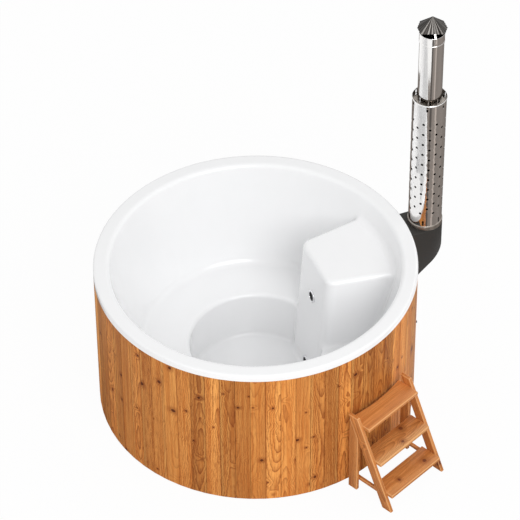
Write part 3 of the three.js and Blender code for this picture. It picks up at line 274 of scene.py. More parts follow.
@dataclass
class TimberFigure:
    """Growth rings, fibres, sapwood and knots inside one board, in metres along its own axes."""

    graph: Graph
    given: Sockets
    seed_step: float = 37.3
    knot_cell: tuple[float, float] = (0.105, 0.33)
    knot_scatter: float = 0.85
    knot_width_share: float = 0.9
    knot_length_spread: float = 0.6
    knot_length_least: float = 0.7
    knot_radius_spread: float = 0.0125
    knot_radius_least: float = 0.0046
    knot_rarity: float = 2.6
    knot_edge_scale: float = 170.0
    knot_edge_depth: float = 0.006
    knot_core: float = 0.72
    knot_halo: float = 3.6
    pull_reach: float = 0.042
    pull: float = 0.011
    wander_density: Place = (0.0, 0.75, 0.0)
    wander: float = 0.22
    pith_spread: float = 0.16
    waver_density: Place = (16.0, 11.0, 16.0)
    waver: float = 0.034
    sink_density: Place = (0.0, 1.1, 0.0)
    sink: float = 0.11
    pith_depth_spread: float = 0.05
    pith_depth_least: float = -0.02
    late_power: float = 2.8
    late_start: float = 0.93
    streak_density: Place = (58.0, 1.6, 58.0)
    flame_density: Place = (105.0, 15.0, 105.0)
    fibre_density: Place = (420.0, 14.0, 420.0)
    broad_density: Place = (13.0, 0.55, 13.0)
    sap_waver: float = 0.05
    sap_fade: float = 0.012
    sap_share: float = 0.6
    broad_share: float = 0.34
    fibre_share: float = 0.16
    border_width: float = 0.005
    halo_share: float = 0.5
    core_share: float = 0.85
    dimmest: float = 0.75
    brightest: float = 1.22
    seed_warmth: float = 0.45
    tone_warmth: float = 0.55
    red_cast: Colour = (1.0, 0.89, 0.76)
    yellow_cast: Colour = (1.0, 1.03, 0.98)

    def knots(self, moved: Socket) -> tuple[Socket, Socket, Socket]:
        """Scatter knots, one to a cell that is longer than it is wide.

        Args:
            moved: The place in the board, shifted by its seed.

        Returns:
            The distance from the nearest knot's middle, the knots' cores and their halos.
        """
        graph = self.graph
        wide, tall = self.knot_cell
        cells = graph.vector("MULTIPLY", moved, (1 / wide, 1 / tall, 0.0))
        scatter = {"Vector": cells, "Scale": 1.0, "Randomness": self.knot_scatter}
        spots = graph.node("TexVoronoi", scatter, voronoi_dimensions="2D").outputs
        chance = graph.node("SeparateColor", {0: spots["Color"]}).outputs
        away = graph.vector("MULTIPLY", graph.vector("SUBTRACT", cells, spots["Position"]), (wide, tall, 0))
        length = graph.times_plus(chance[2], self.knot_length_spread, self.knot_length_least)
        squeeze = graph.node("CombineXYZ", {0: self.knot_width_share, 1: length}).outputs[0]
        away = graph.vector("MULTIPLY", away, squeeze)
        reach = graph.node("VectorMath", {0: away}, operation="LENGTH").outputs["Value"]
        ragged = graph.noise(moved, self.knot_edge_scale)
        reach = graph.math("ADD", reach, graph.centred(ragged, self.knot_edge_depth))
        rare = graph.math("POWER", chance[0], self.knot_rarity)
        sized = graph.times_plus(rare, self.knot_radius_spread, self.knot_radius_least)
        present = graph.math("LESS_THAN", chance[1], self.given["Knot Share"])
        radius = graph.times(sized, present)
        core = graph.between(reach, radius, graph.times(radius, self.knot_core))
        halo = graph.between(reach, graph.times(radius, self.knot_halo), radius)
        return reach, graph.times(core, present), graph.times(halo, present)

    def late_wood(self, moved: Socket, reach: Socket) -> Socket:
        """Draw the rings' dark late wood, as the board's face cuts them round a wandering pith.

        Args:
            moved: The place in the board, shifted by its seed.
            reach: Distance from the nearest knot, which pulls the rings aside.

        Returns:
            A value that is 1 at the end of each ring.
        """
        graph, given, seed = self.graph, self.given, self.given["Seed"]
        across, _, depth = graph.node("SeparateXYZ", {0: given["Place"]}).outputs
        wander = graph.centred(graph.grain(moved, self.wander_density), self.wander)
        pith = graph.math("ADD", wander, graph.centred(graph.drawn(seed, 7.77), self.pith_spread))
        waver = graph.centred(graph.grain(moved, self.waver_density, 4.0, 0.68), self.waver)
        side = graph.math("ADD", graph.math("SUBTRACT", across, pith), waver)
        under = graph.drawn(seed, 3.31)
        under = graph.times_plus(under, self.pith_depth_spread, self.pith_depth_least)
        under = graph.math("ADD", depth, under)
        under = graph.times_plus(graph.grain(moved, self.sink_density), self.sink, under)
        squares = graph.math("ADD", graph.times(side, side), graph.times(under, under))
        pulled = graph.times(graph.between(reach, self.pull_reach, 0.0), self.pull)
        rings = graph.math("ADD", graph.math("SQRT", squares), pulled)
        turn = graph.math("FRACT", graph.math("DIVIDE", rings, given["Ring Spacing"]))
        late = graph.math("POWER", turn, self.late_power)
        return graph.times(late, graph.between(turn, 1.0, self.late_start))

    def stained(self, moved: Socket, late: Socket, fibres: Socket) -> Socket:
        """Lay streaks, flame, sapwood, rings, fibres and dark borders over one another.

        Args:
            moved: The place in the board, shifted by its seed.
            late: The rings' late wood.
            fibres: The fine fibres.

        Returns:
            The colour of clear timber.
        """
        graph, given = self.graph, self.given
        seed, dark, half = given["Seed"], given["Dark"], given["Half Width"]
        across = graph.node("SeparateXYZ", {0: given["Place"]}).outputs[0]
        figured = graph.between(graph.drawn(seed, 5.71), 0.05, 0.5, 0.4, 1.0)
        streaks = graph.grain(moved, self.streak_density, 3.0, 0.6)
        colour = graph.mix(graph.between(streaks, 0.34, 0.66), given["Light"], given["Middle"])
        flame = graph.grain(moved, self.flame_density, 3.0, 0.65)
        strength = graph.times(figured, given["Flame Strength"])
        colour = graph.mix(graph.between(flame, 0.48, 0.66, 0.0, strength), colour, dark)
        broad = graph.grain(moved, self.broad_density)
        edge = graph.times(across, given["Sap Side"])
        edge = graph.math("ADD", edge, graph.centred(broad, self.sap_waver))
        pale = graph.between(edge, given["Sap Start"], graph.math("ADD", given["Sap Start"], self.sap_fade))
        colour = graph.mix(graph.times(pale, self.sap_share), colour, given["Sap"])
        lined = graph.times(graph.times(late, figured), given["Ring Strength"])
        colour = graph.mix(lined, colour, dark)
        colour = graph.mix(graph.between(broad, 0.4, 0.75, 0.0, self.broad_share), colour, dark)
        fine = graph.times(graph.between(fibres, 0.45, 0.75), self.fibre_share)
        colour = graph.mix(fine, colour, dark)
        inside = graph.math("SUBTRACT", half, self.border_width)
        border = graph.between(graph.math("ABSOLUTE", across), inside, half)
        worn = graph.times_plus(graph.drawn(seed, 2.93), 0.5, 0.1)
        return graph.mix(graph.times(border, worn), colour, dark)

    def toned(self, colour: Socket) -> Socket:
        """Make a board lighter or darker, and redder or yellower, as a whole.

        Args:
            colour: The timber's colour.

        Returns:
            The board's colour.
        """
        graph, given = self.graph, self.given
        dim = graph.between(given["Tone"], 0.0, 1.0, self.dimmest, self.brightest)
        warm = graph.times(graph.drawn(given["Seed"], 11.3), self.seed_warmth)
        warm = graph.times_plus(given["Tone"], self.tone_warmth, warm)
        cast = graph.mix(warm, self.red_cast, self.yellow_cast)
        colour = graph.mix(1.0, colour, graph.triple("CombineColor", dim), "MULTIPLY")
        return graph.mix(1.0, colour, cast, "MULTIPLY")

    def draw(self) -> Sockets:
        """Draw the timber.

        Returns:
            The group's output sockets by name.
        """
        graph, given = self.graph, self.given
        shift = graph.times(given["Seed"], self.seed_step)
        moved = graph.vector("ADD", given["Place"], graph.triple("CombineXYZ", shift))
        reach, core, halo = self.knots(moved)
        late = self.late_wood(moved, reach)
        fibres = graph.grain(moved, self.fibre_density, 2.0, 0.6)
        colour = self.stained(moved, late, fibres)
        colour = graph.mix(graph.times(halo, self.halo_share), colour, given["Dark"])
        colour = graph.mix(graph.times(core, self.core_share), colour, given["Knot"])
        height = graph.times_plus(late, 0.5, graph.times(fibres, 0.5))
        height = graph.math("SUBTRACT", height, graph.times(core, 0.4))
        uneven = graph.times_plus(fibres, 0.16, graph.times(late, -0.06))
        return {"Colour": self.toned(colour), "Unevenness": uneven, "Height": height}


def timber_group() -> bpy.types.NodeTree:
    """Give the group that draws one board's figure.

    Returns:
        The node group.
    """
    inputs = {"Place": None, "Seed": 0.0, "Tone": 0.5, "Sap Side": 1.0}
    inputs |= {label: (0.5, 0.3, 0.1) for label in FIGURE_COLOURS}
    inputs |= {label: 0.5 for label in FIGURE_NUMBERS}
    outputs = {"Colour": "Color", "Unevenness": "Float", "Height": "Float"}
    return shader_group("timber_figure", inputs, outputs, lambda *given: TimberFigure(*given).draw())


def fill_handling(graph: Graph, given: Sockets) -> Sockets:
    """Draw faint smears, dust and fine unevenness.

    Args:
        graph: The group's graph.
        given: Its input sockets by name.

    Returns:
        Its output sockets by name.
    """
    place = given["Place"]
    cloud = graph.noise(place, 3.1, 3.0, 0.6)
    smear = graph.noise(graph.vector("MULTIPLY", place, (1.0, 1.0, 0.35)), 11.0, 4.0, 0.62)
    speck = graph.node("TexVoronoi", {"Vector": place, "Scale": 260.0}).outputs["Distance"]
    dust = graph.times(graph.between(speck, 0.16, 0.05), graph.between(cloud, 0.45, 0.7))
    marks = graph.times_plus(cloud, 0.3, graph.times(graph.between(smear, 0.35, 0.75), 0.7))
    return {"Marks": marks, "Dust": dust, "Peel": graph.noise(place, given["Peel Scale"], 2.0, 0.55)}


def handling_group() -> bpy.types.NodeTree:
    """Give the group of the marks that every hard finish has.

    Returns:
        The node group.
    """
    inputs = {"Place": None, "Peel Scale": 300.0}
    outputs = {"Marks": "Float", "Dust": "Float", "Peel": "Float"}
    return shader_group("handling_marks", inputs, outputs, fill_handling)


def fill_brushing(graph: Graph, given: Sockets) -> Sockets:
    """Draw fine and wide draw lines in a group and give its outputs by name."""
    drawn_out = graph.vector("MULTIPLY", given["Place"], given["Stretch"])
    return {"Lines": graph.noise(drawn_out, 420.0, 2.0, 0.6), "Streaks": graph.noise(drawn_out, 36.0)}


def brushing_group() -> bpy.types.NodeTree:
    """Give the group of draw lines that rolled and polished metal has.

    Returns:
        The node group.
    """
    inputs = {"Place": None, "Stretch": None}
    outputs = {"Lines": "Float", "Streaks": "Float"}
    return shader_group("draw_lines", inputs, outputs, fill_brushing)


def handled(graph: Graph, peel_scale: float) -> Sockets:
    """Place the handling marks in a material and give their outputs."""
    given = {"Place": graph.node("TexCoord").outputs["Object"], "Peel Scale": peel_scale}
    return graph.node("Group", given, node_tree=handling_group()).outputs


def new_material(name: str) -> tuple[bpy.types.Material, Graph, bpy.types.Node]:
    """Start a material.

    Args:
        name: Its name.

    Returns:
        The material, its graph and its Principled BSDF.
    """
    material = bpy.data.materials.new(name)
    material.use_nodes = True
    tree = material.node_tree
    shader = next(n for n in tree.nodes if n.type == "BSDF_PRINCIPLED")
    return material, Graph(tree), shader


@dataclass(frozen=True)
class TimberFinish:
    """Oiled or raw timber, read in the board's own axes."""

    name: str
    light: Colour
    middle: Colour
    dark: Colour
    sap: Colour
    knot: Colour
    knot_share: float = 0.5
    ring_spacing: float = 0.0052
    ring_strength: float = 0.5
    sap_start: float = 0.028
    roughness: float = 0.46
    relief: float = 0.0006
    flame_strength: float = 0.46
    half_width: float = 1.0
    specular: float = 0.2
    wear_and_highlight_share: float = 0.55
    edge_shadow_share: float = 0.85
    relief_strength: float = 0.55

    def material(self) -> bpy.types.Material:
        """Build the material.

        Returns:
            The material.
        """
        material, graph, shader = new_material(self.name)
        given = {
            "Place": graph.attribute("board_place", "Vector"),
            "Seed": graph.attribute("board_seed"),
            "Tone": graph.attribute("board_tone"),
            "Sap Side": graph.attribute("board_sap"),
        }
        for label in FIGURE_COLOURS + FIGURE_NUMBERS:
            given[label] = getattr(self, label.lower().replace(" ", "_"))
        figure = graph.node("Group", given, node_tree=timber_group()).outputs
        # The mark is 1 on eased edges, drawn paler as wear and painted highlight, and -1 on an edge darkened
        # as painted shadow.
        edge = graph.attribute("worn_edge")
        colour = graph.mix(graph.times(edge, self.wear_and_highlight_share), figure["Colour"], self.sap)
        colour = graph.mix(graph.times(edge, -self.edge_shadow_share), colour, self.knot)
        graph.link(colour, shader.inputs["Base Color"])
        graph.link(graph.math("ADD", figure["Unevenness"], self.roughness), shader.inputs["Roughness"])
        graph.bump(shader, figure["Height"], self.relief, self.relief_strength)
        shader.inputs["Specular IOR Level"].default_value = self.specular
        return material


@dataclass(frozen=True)
class MetalFinish:
    """Bare or plated metal with draw lines."""

    name: str
    colour: Colour
    shade: Colour
    roughness: float
    lines: float
    stretch: Place = (1.0, 1.0, 0.02)
    relief: float = 0.00004
    relief_strength: float = 0.4
    dust: Colour = (0.5, 0.47, 0.43)
    dust_share: float = 0.25
    smear_share: float = 0.6
    peel_scale: float = 90.0

    def material(self) -> bpy.types.Material:
        """Build the material.

        Returns:
            The material.
        """
        material, graph, shader = new_material(self.name)
        given = {"Place": graph.node("TexCoord").outputs["Object"], "Stretch": self.stretch}
        lines = graph.node("Group", given, node_tree=brushing_group()).outputs
        marks = handled(graph, self.peel_scale)
        colour = graph.mix(graph.between(lines["Streaks"], 0.3, 0.75), self.colour, self.shade)
        colour = graph.mix(graph.times(marks["Dust"], self.dust_share), colour, self.dust)
        graph.link(colour, shader.inputs["Base Color"])
        shader.inputs["Metallic"].default_value = 1.0
        rough = graph.times_plus(lines["Lines"], self.lines, self.roughness)
        rough = graph.times_plus(marks["Marks"], self.lines * self.smear_share, rough)
        graph.link(rough, shader.inputs["Roughness"])
        graph.bump(shader, lines["Lines"], self.relief, self.relief_strength)
        return material


@dataclass(frozen=True)
class FoldReflectionFinish:
    """Dark metal with painted reflection streaks, lighter or darker fold by fold."""

    name: str
    dark: Colour
    light: Colour
    roughness: float = 0.2
    spread: float = 0.16
    cloud_share: float = 0.3
    peel_scale: float = 260.0
    relief: float = 0.0002
    relief_strength: float = 0.5

    def material(self) -> bpy.types.Material:
        """Build the material.

        Returns:
            The material.
        """
        material, graph, shader = new_material(self.name)
        marks = handled(graph, self.peel_scale)
        cloud = graph.centred(marks["Marks"], self.cloud_share)
        share = graph.math("ADD", cloud, graph.attribute("fold_shade"), clamp=True)
        graph.link(graph.mix(share, self.dark, self.light), shader.inputs["Base Color"])
        shader.inputs["Metallic"].default_value = 1.0
        rough = graph.times_plus(marks["Marks"], self.spread, self.roughness)
        graph.link(rough, shader.inputs["Roughness"])
        graph.bump(shader, marks["Peel"], self.relief, self.relief_strength)
        return material


@dataclass(frozen=True)
class CoatFinish:
    """Smooth moulding, paint, powder coat or plastic."""

    name: str
    colour: Colour
    worn: Colour
    roughness: float
    spread: float
    peel_scale: float
    peel: float
    coat: float = 0.0
    metallic: float = 0.0
    mark_share: float = 0.2
    specular: float = 0.5
    coat_roughness: float = 0.06
    peel_strength: float = 0.5

    def material(self) -> bpy.types.Material:
        """Build the material.

        Returns:
            The material.
        """
        material, graph, shader = new_material(self.name)
        marks = handled(graph, self.peel_scale)
        share = graph.times(marks["Marks"], self.mark_share)
        share = graph.times_plus(marks["Dust"], self.mark_share, share)
        graph.link(graph.mix(share, self.colour, self.worn), shader.inputs["Base Color"])
        rough = graph.times_plus(marks["Marks"], self.spread, self.roughness)
        graph.link(rough, shader.inputs["Roughness"])
        plain = {
            "Metallic": self.metallic,
            "Specular IOR Level": self.specular,
            "Coat Weight": self.coat,
            "Coat Roughness": self.coat_roughness,
        }
        for label, value in plain.items():
            shader.inputs[label].default_value = value
        graph.bump(shader, marks["Peel"], self.peel, self.peel_strength)
        return material


@dataclass(frozen=True)
class RopeFinish:
    """Twisted glass-fibre rope of the door seal."""

    name: str
    light: Colour
    dark: Colour
    twist_scale: float = 190.0
    twist_waver: float = 1.4
    fluff_scale: float = 900.0
    fluff_height: float = 0.4
    roughness: float = 0.85
    spread: float = 0.1
    relief: float = 0.0006

    def material(self) -> bpy.types.Material:
        """Build the material.

        Returns:
            The material.
        """
        material, graph, shader = new_material(self.name)
        place = graph.node("TexCoord").outputs["Object"]
        wave = {"Vector": place, "Scale": self.twist_scale, "Distortion": self.twist_waver}
        twist = graph.node("TexWave", wave, bands_direction="DIAGONAL").outputs["Fac"]
        fluff = graph.noise(place, self.fluff_scale)
        graph.link(graph.mix(twist, self.dark, self.light), shader.inputs["Base Color"])
        graph.link(graph.times_plus(fluff, self.spread, self.roughness), shader.inputs["Roughness"])
        graph.bump(shader, graph.times_plus(fluff, self.fluff_height, twist), self.relief)
        return material


FINISHES = {
    Slot.ACRYLIC: CoatFinish(
        "gloss_white_acrylic", colour=(0.93, 0.932, 0.938), worn=(0.9, 0.904, 0.91), roughness=0.15,
        spread=0.07, peel_scale=14.0, peel=0.0003, coat=0.35, mark_share=0.3,
    ),
    Slot.CLADDING: TimberFinish(
        "oiled_wall_pine", light=tint(234, 164, 91), middle=tint(210, 133, 65), dark=tint(132, 62, 22),
        sap=tint(240, 180, 106), knot=tint(72, 24, 12), knot_share=0.62, ring_spacing=0.0078,
        ring_strength=0.92, half_width=0.0461, specular=0.12,
    ),
    Slot.STEP: TimberFinish(
        "oiled_step_pine", light=tint(220, 152, 90), middle=tint(199, 128, 69), dark=tint(138, 76, 36),
        sap=tint(238, 182, 122), knot=tint(108, 52, 28), ring_spacing=0.0078, ring_strength=0.74,
        sap_start=0.03, roughness=0.3, flame_strength=0.34, specular=0.45,
    ),
    Slot.FRAME: TimberFinish(
        "sawn_frame_timber", light=tint(222, 190, 146), middle=tint(208, 172, 126),
        dark=tint(168, 128, 84), sap=tint(230, 204, 164), knot=tint(96, 62, 38), knot_share=0.35,
        ring_spacing=0.006, ring_strength=0.4, sap_start=0.2, roughness=0.7, relief=0.001,
    ),
    Slot.STOVE: CoatFinish(
        "stove_paint", colour=tint(58, 58, 60), worn=tint(88, 84, 80), roughness=0.5, spread=0.22,
        peel_scale=520.0, peel=0.00025, metallic=0.35, mark_share=0.4,
    ),
    Slot.STAINLESS: MetalFinish(
        "polished_stainless", colour=(0.96, 0.95, 0.94), shade=(0.9, 0.885, 0.865), roughness=0.04,
        lines=0.05,
    ),
    Slot.COAT: CoatFinish(
        "anthracite_powder_coat", colour=tint(46, 44, 42), worn=tint(62, 59, 55), roughness=0.5,
        spread=0.16, peel_scale=640.0, peel=0.0002, mark_share=0.3, specular=0.3,
    ),
    Slot.CHROME: MetalFinish(
        "chrome_plate", colour=(0.86, 0.86, 0.87), shade=(0.74, 0.74, 0.76), roughness=0.05, lines=0.05,
    ),
    Slot.PLASTIC: CoatFinish(
        "black_plastic", colour=tint(15, 15, 16), worn=tint(36, 36, 37), roughness=0.42, spread=0.18,
        peel_scale=480.0, peel=0.0002, mark_share=0.4, specular=0.12,
    ),
    Slot.ROPE: RopeFinish("seal_rope", light=tint(150, 142, 130), dark=tint(84, 78, 70)),
    Slot.BRASS: MetalFinish(
        "turned_brass", colour=tint(214, 176, 104), shade=tint(176, 138, 76), roughness=0.2, lines=0.14,
        stretch=(0.02, 1.0, 1.0),
    ),
}
MATERIALS = {slot: finish.material() for slot, finish in FINISHES.items()}
# Near-black steel: it paints the shade inside the chimney guard, on its inner faces and on the pipe within,
# and gives the door latch a heat tint.
HEAT_TINT_AND_SHADE_BLACK = MetalFinish(
    "heat_tint_and_painted_shade_black_steel", colour=(0.1, 0.08, 0.065), shade=(0.05, 0.045, 0.04), roughness=0.22,
    lines=0.1,
).material()
# Mid-grey steel that paints the shade on the guard's foot ring and its spacers.
PAINTED_SHADE_GREY = MetalFinish(
    "painted_shade_grey_steel", colour=(0.46, 0.42, 0.38), shade=(0.3, 0.27, 0.24), roughness=0.3, lines=0.12,
).material()
# Cap metal painted dark, with painted reflection streaks fold by fold.
FOLD_REFLECTION = FoldReflectionFinish("painted_reflection_steel", dark=(0.028, 0.025, 0.023), light=(0.18, 0.171, 0.16)).material()


def rounded(corners: Sequence[tuple[float, float, float]], steps: int) -> Outline:
    """Turn corners into an outline with arcs.

    Args:
        corners: Corners as (a, b, arc radius).
        steps: Steps in each arc.

    Returns:
        The outline's points.
    """
    outline: Outline = []
    for index, (a, b, radius) in enumerate(corners):
        if not radius or index in (0, len(corners) - 1):
            outline.append((a, b))
            continue
        here = Vector((a, b))
        back = (Vector(corners[index - 1][:2]) - here).normalized()
        ahead = (Vector(corners[index + 1][:2]) - here).normalized()
        half = math.acos(max(-1.0, min(1.0, back.dot(ahead)))) / 2
        centre = (back + ahead).normalized() * (radius / math.sin(half)) + here
        start = back * (radius / math.tan(half)) + here - centre
        end = ahead * (radius / math.tan(half)) + here - centre
        turn = math.atan2(start.x * end.y - start.y * end.x, start.dot(end))
        for step in range(steps + 1):
            angle = turn * step / steps
            cos, sin = math.cos(angle), math.sin(angle)
            turned = start.x * cos - start.y * sin, start.x * sin + start.y * cos
            outline.append((turned[0] + centre.x, turned[1] + centre.y))
    return outline


@dataclass
class Skin:
    """Points and faces of one mesh, gathered part by part."""

    points: list[Place] = field(default_factory=list)
    faces: list[tuple[int, ...]] = field(default_factory=list)

    def add(self, points: Iterable[Place], faces: Iterable[Sequence[int]]) -> "Skin":
        """Add points and the faces between them.

        Args:
            points: The new points.
            faces: Faces as indices into the new points.

        Returns:
            This skin.
        """
        first = len(self.points)
        self.points.extend(tuple(p) for p in points)
        self.faces.extend(tuple(first + i for i in face) for face in faces)
        return self

    def loft(self, loops: Sequence[Sequence[Place]], capped: bool = True) -> "Skin":
        """Add a skin through closed loops with equal point counts.

        Args:
            loops: The loops, counter-clockwise seen from the last one.
            capped: Whether the ends are closed.

        Returns:
            This skin.
        """
        count = len(loops[0])
        faces = []
        for level, index in product(range(len(loops) - 1), range(count)):
            low, after = level * count + index, level * count + (index + 1) % count
            faces.append((low, after, after + count, low + count))
        if capped:
            top = (len(loops) - 1) * count
            faces.append(tuple(range(count - 1, -1, -1)))
            faces.append(tuple(range(top, top + count)))
        return self.add([p for loop in loops for p in loop], faces)

    def turned(self, outline: Outline, sides: int, place: Matrix | None = None) -> "Skin":
        """Add a closed outline in radius and height, turned about the z axis.

        Args:
            outline: Its points; points on the axis are welded later.
            sides: Steps round the axis.
            place: Where the turned form goes.

        Returns:
            This skin.
        """
        move = place or Matrix.Identity(4)
        points, faces, count = [], [], len(outline)
        for side in range(sides):
            angle = 2 * math.pi * side / sides
            for radius, height in outline:
                points.append(move @ Vector((radius * math.cos(angle), radius * math.sin(angle), height)))
        for side, index in product(range(sides), range(count)):
            after, beside = (index + 1) % count, (side + 1) % sides
            if outline[index][0] == 0 and outline[after][0] == 0:
                continue
            near, far = side * count, beside * count
            faces.append((near + index, far + index, far + after, near + after))
        return self.add(points, faces)

    def block(self, low: Place, high: Place, place: Matrix | None = None) -> "Skin":
        """Add a box.

        Args:
            low: Its lowest corner.
            high: Its highest corner.
            place: Where it goes.

        Returns:
            This skin.
        """
        move = place or Matrix.Identity(4)
        loops = []
        for z in (low[2], high[2]):
            ring = [(low[0], low[1]), (high[0], low[1]), (high[0], high[1]), (low[0], high[1])]
            loops.append([move @ Vector((x, y, z)) for x, y in ring])
        return self.loft(loops)

    def thickened(self, thickness: float) -> "Skin":
        """Give this open skin a back and closed edges.

        Args:
            thickness: How far the back lies behind it.

        Returns:
            A new closed skin.
        """
        points = np.array(self.points, float)
        normals = np.zeros_like(points)
        edges: dict[tuple[int, int], int] = {}
        for face in self.faces:
            corner = points[list(face)]
            normal = np.cross(corner[1] - corner[0], corner[2] - corner[0])
            if len(face) == 4:
                normal = normal + np.cross(corner[2] - corner[0], corner[3] - corner[0])
            normals[list(face)] += normal
            for a, b in zip(face, (*face[1:], face[0])):
                edges[(a, b)] = edges.get((a, b), 0) + 1
        normals /= np.maximum(np.linalg.norm(normals, axis=1, keepdims=True), 1e-12)
        count = len(points)
        back = points - normals * thickness
        faces = list(self.faces) + [tuple(i + count for i in reversed(face)) for face in self.faces]
        faces += [(b, a, a + count, b + count) for a, b in edges if (b, a) not in edges]
        return Skin([tuple(p) for p in np.vstack([points, back])], faces)

    def made(self, name: str, sharp: float = 32.0, weld: bool = True) -> Piece:
        """Make an object of this skin.

        Args:
            name: The object's name.
            sharp: Edges turning more than this many degrees stay crisp.
            weld: Whether points in one place are joined.

        Returns:
            The object.
        """
        mesh = bpy.data.meshes.new(name)
        mesh.from_pydata([tuple(p) for p in self.points], [], self.faces)
        made = bpy.data.objects.new(name, mesh)
        bpy.context.scene.collection.objects.link(made)
        if weld:
            tidy_mesh(made)
        smooth(made, sharp)
        return made


def tidy_mesh(piece: Piece) -> None:
    """Weld a mesh's doubled points and turn its faces outwards.

    Args:
        piece: The piece whose mesh it is.
    """
    work = bmesh.new()
    work.from_mesh(piece.data)
    bmesh.ops.remove_doubles(work, verts=work.verts, dist=1e-6)
    bmesh.ops.recalc_face_normals(work, faces=work.faces)
    work.to_mesh(piece.data)
    work.free()


def smooth(piece: Piece, sharp: float) -> None:
    """Shade a piece smooth but for edges that turn more than some degrees."""
    piece.data.shade_smooth()
    piece.data.set_sharp_from_angle(angle=math.radians(sharp))


def settled(piece: Piece) -> None:
    """Replace a piece's mesh by what its modifiers make of it.

    Args:
        piece: The piece.
    """
    bpy.context.view_layer.update()
    graph = bpy.context.evaluated_depsgraph_get()
    mesh = bpy.data.meshes.new_from_object(piece.evaluated_get(graph))
    piece.modifiers.clear()
    piece.data = mesh


def carved(piece: Piece, tool: Skin, sharp: float = 32.0) -> Piece:
    """Cut a tool's form out of a piece.

    Args:
        piece: The piece.
        tool: Closed forms to take away.
        sharp: Edges turning more than this many degrees stay crisp.

    Returns:
        The piece.
    """
    cutter = tool.made(piece.name + "_cutter")
    cut = piece.modifiers.new("cut", "BOOLEAN")
    cut.operation = "DIFFERENCE"
    cut.solver = "EXACT"
    cut.object = cutter
    settled(piece)
    bpy.data.objects.remove(cutter)
    smooth(piece, sharp)
    return piece


def softened(node: str, name: str, width: float, segments: int = 2, sharp: float = 28.0) -> Piece:
    """Copy a CAD node with its crisp edges eased.

    Args:
        node: The CAD node.
        name: The new piece's name.
        width: How far each edge is drawn in.
        segments: Steps across an eased edge.
        sharp: Edges turning more than this many degrees are eased.

    Returns:
        The new piece.
    """
    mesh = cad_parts[node].data.copy()
    mesh.name = name
    mesh.materials.clear()
    work = bmesh.new()
    work.from_mesh(mesh)
    bmesh.ops.remove_doubles(work, verts=work.verts, dist=2e-6)
    bmesh.ops.dissolve_limit(work, angle_limit=math.radians(0.6), verts=work.verts, edges=work.edges)
    limit = math.radians(sharp)
    worn = work.faces.layers.float.new("worn_edge")
    crisp = [e for e in work.edges if len(e.link_faces) == 2 and e.calc_face_angle(0.0) > limit]
    ease = {"offset": width, "segments": segments, "profile": 0.5, "affect": "EDGES", "clamp_overlap": True}
    # Eased edges are marked to be drawn paler: wear and painted highlight.
    for face in bmesh.ops.bevel(work, geom=crisp, **ease)["faces"]:
        face[worn] = 1.0
    bmesh.ops.recalc_face_normals(work, faces=work.faces)
    work.to_mesh(mesh)
    work.free()
    made = bpy.data.objects.new(name, mesh)
    bpy.context.scene.collection.objects.link(made)
    smooth(made, sharp)
    return made


def dress(
    piece: Piece, body: Body, slot: Slot, *nodes: str, finish: bpy.types.Material | None = None
) -> Piece:
    """Give a piece its finish, the body it rides on and the CAD nodes it stands for.

    Args:
        piece: The piece.
        body: The CAD body it moves with.
        slot: The slot whose finish it takes when no other is given.
        *nodes: The CAD nodes that it replaces.
        finish: Another look of that slot, if the piece has one.

    Returns:
        The piece.
    """
    piece.data.materials.clear()
    piece.data.materials.append(finish or MATERIALS[slot])
    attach(piece, body.value)
    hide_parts(*nodes)
    log.info("%s: %d faces, rides on %s", piece.name, len(piece.data.polygons), body.value)
    return piece


def write_values(mesh: bpy.types.Mesh, name: str, kind: str, values: np.ndarray) -> None:
    """Store one value for each point of a mesh."""
    made = mesh.attributes.new(name, kind, "POINT")
    made.data.foreach_set("vector" if kind == "FLOAT_VECTOR" else "value", values.astype(np.float32).ravel())


def read_points(mesh: bpy.types.Mesh) -> np.ndarray:
    """Read the points of a mesh.

    Args:
        mesh: The mesh.

    Returns:
        Rows of x, y and z.
    """
    values = np.zeros(len(mesh.vertices) * 3, np.float32)
    mesh.vertices.foreach_get("co", values)
    return values.reshape(-1, 3).astype(float)


@dataclass
class Board:
    """How one board was sawn: its axes in the frame and its figure."""

    across: Vector
    along: Vector
    seed: float
    tone: float
    sap: float = 0.0

    def mark(self, piece: Piece) -> None:
        """Store the board's own axes and figure on a piece.

        Args:
            piece: The piece.
        """
        depth = self.along.cross(self.across)
        points = read_points(piece.data) @ np.array([self.across, self.along, depth]).T
        middle = (points.min(axis=0) + points.max(axis=0)) / 2
        write_values(piece.data, "board_place", "FLOAT_VECTOR", points - middle)
        for name, value in (("board_seed", self.seed), ("board_tone", self.tone), ("board_sap", self.sap)):
            write_values(piece.data, name, "FLOAT", np.full(len(points), value))


def rounded_most(first: np.ndarray, second: np.ndarray, radius: float) -> np.ndarray:
    """Join two distances to where both are inside, with a rounded edge."""
    over = np.hypot(np.maximum(first + radius, 0), np.maximum(second + radius, 0))
    return np.minimum(np.maximum(first, second), -radius) + over


def rounded_least(first: np.ndarray, second: np.ndarray, radius: float) -> np.ndarray:
    """Join two distances to where either is inside, with a rounded inner corner."""
    under = np.hypot(np.maximum(radius - first, 0), np.maximum(radius - second, 0))
    return np.maximum(np.minimum(first, second), radius) - under


@dataclass(frozen=True)
class StoveBlock:
    """Block in the liner that houses the stove, with its ports and the floor drain before it."""

    top: float = 0.92
    reach: float = 0.395
    half_width: float = 0.215
    corner: float = 0.05
    edge: float = 0.028
    lean_share: float = 0.07
    flare_share: float = 0.1655
    blend: float = 0.034
    port_y: float = -0.014
    port_heights: tuple[float, float] = (0.652, 0.095)
    drain_x: float = 0.115

    def front(self, height: float | np.ndarray) -> float | np.ndarray:
        """Give how far its leaning front lies from the tub's axis at a height."""
        return self.reach - (self.top - height) * self.lean_share


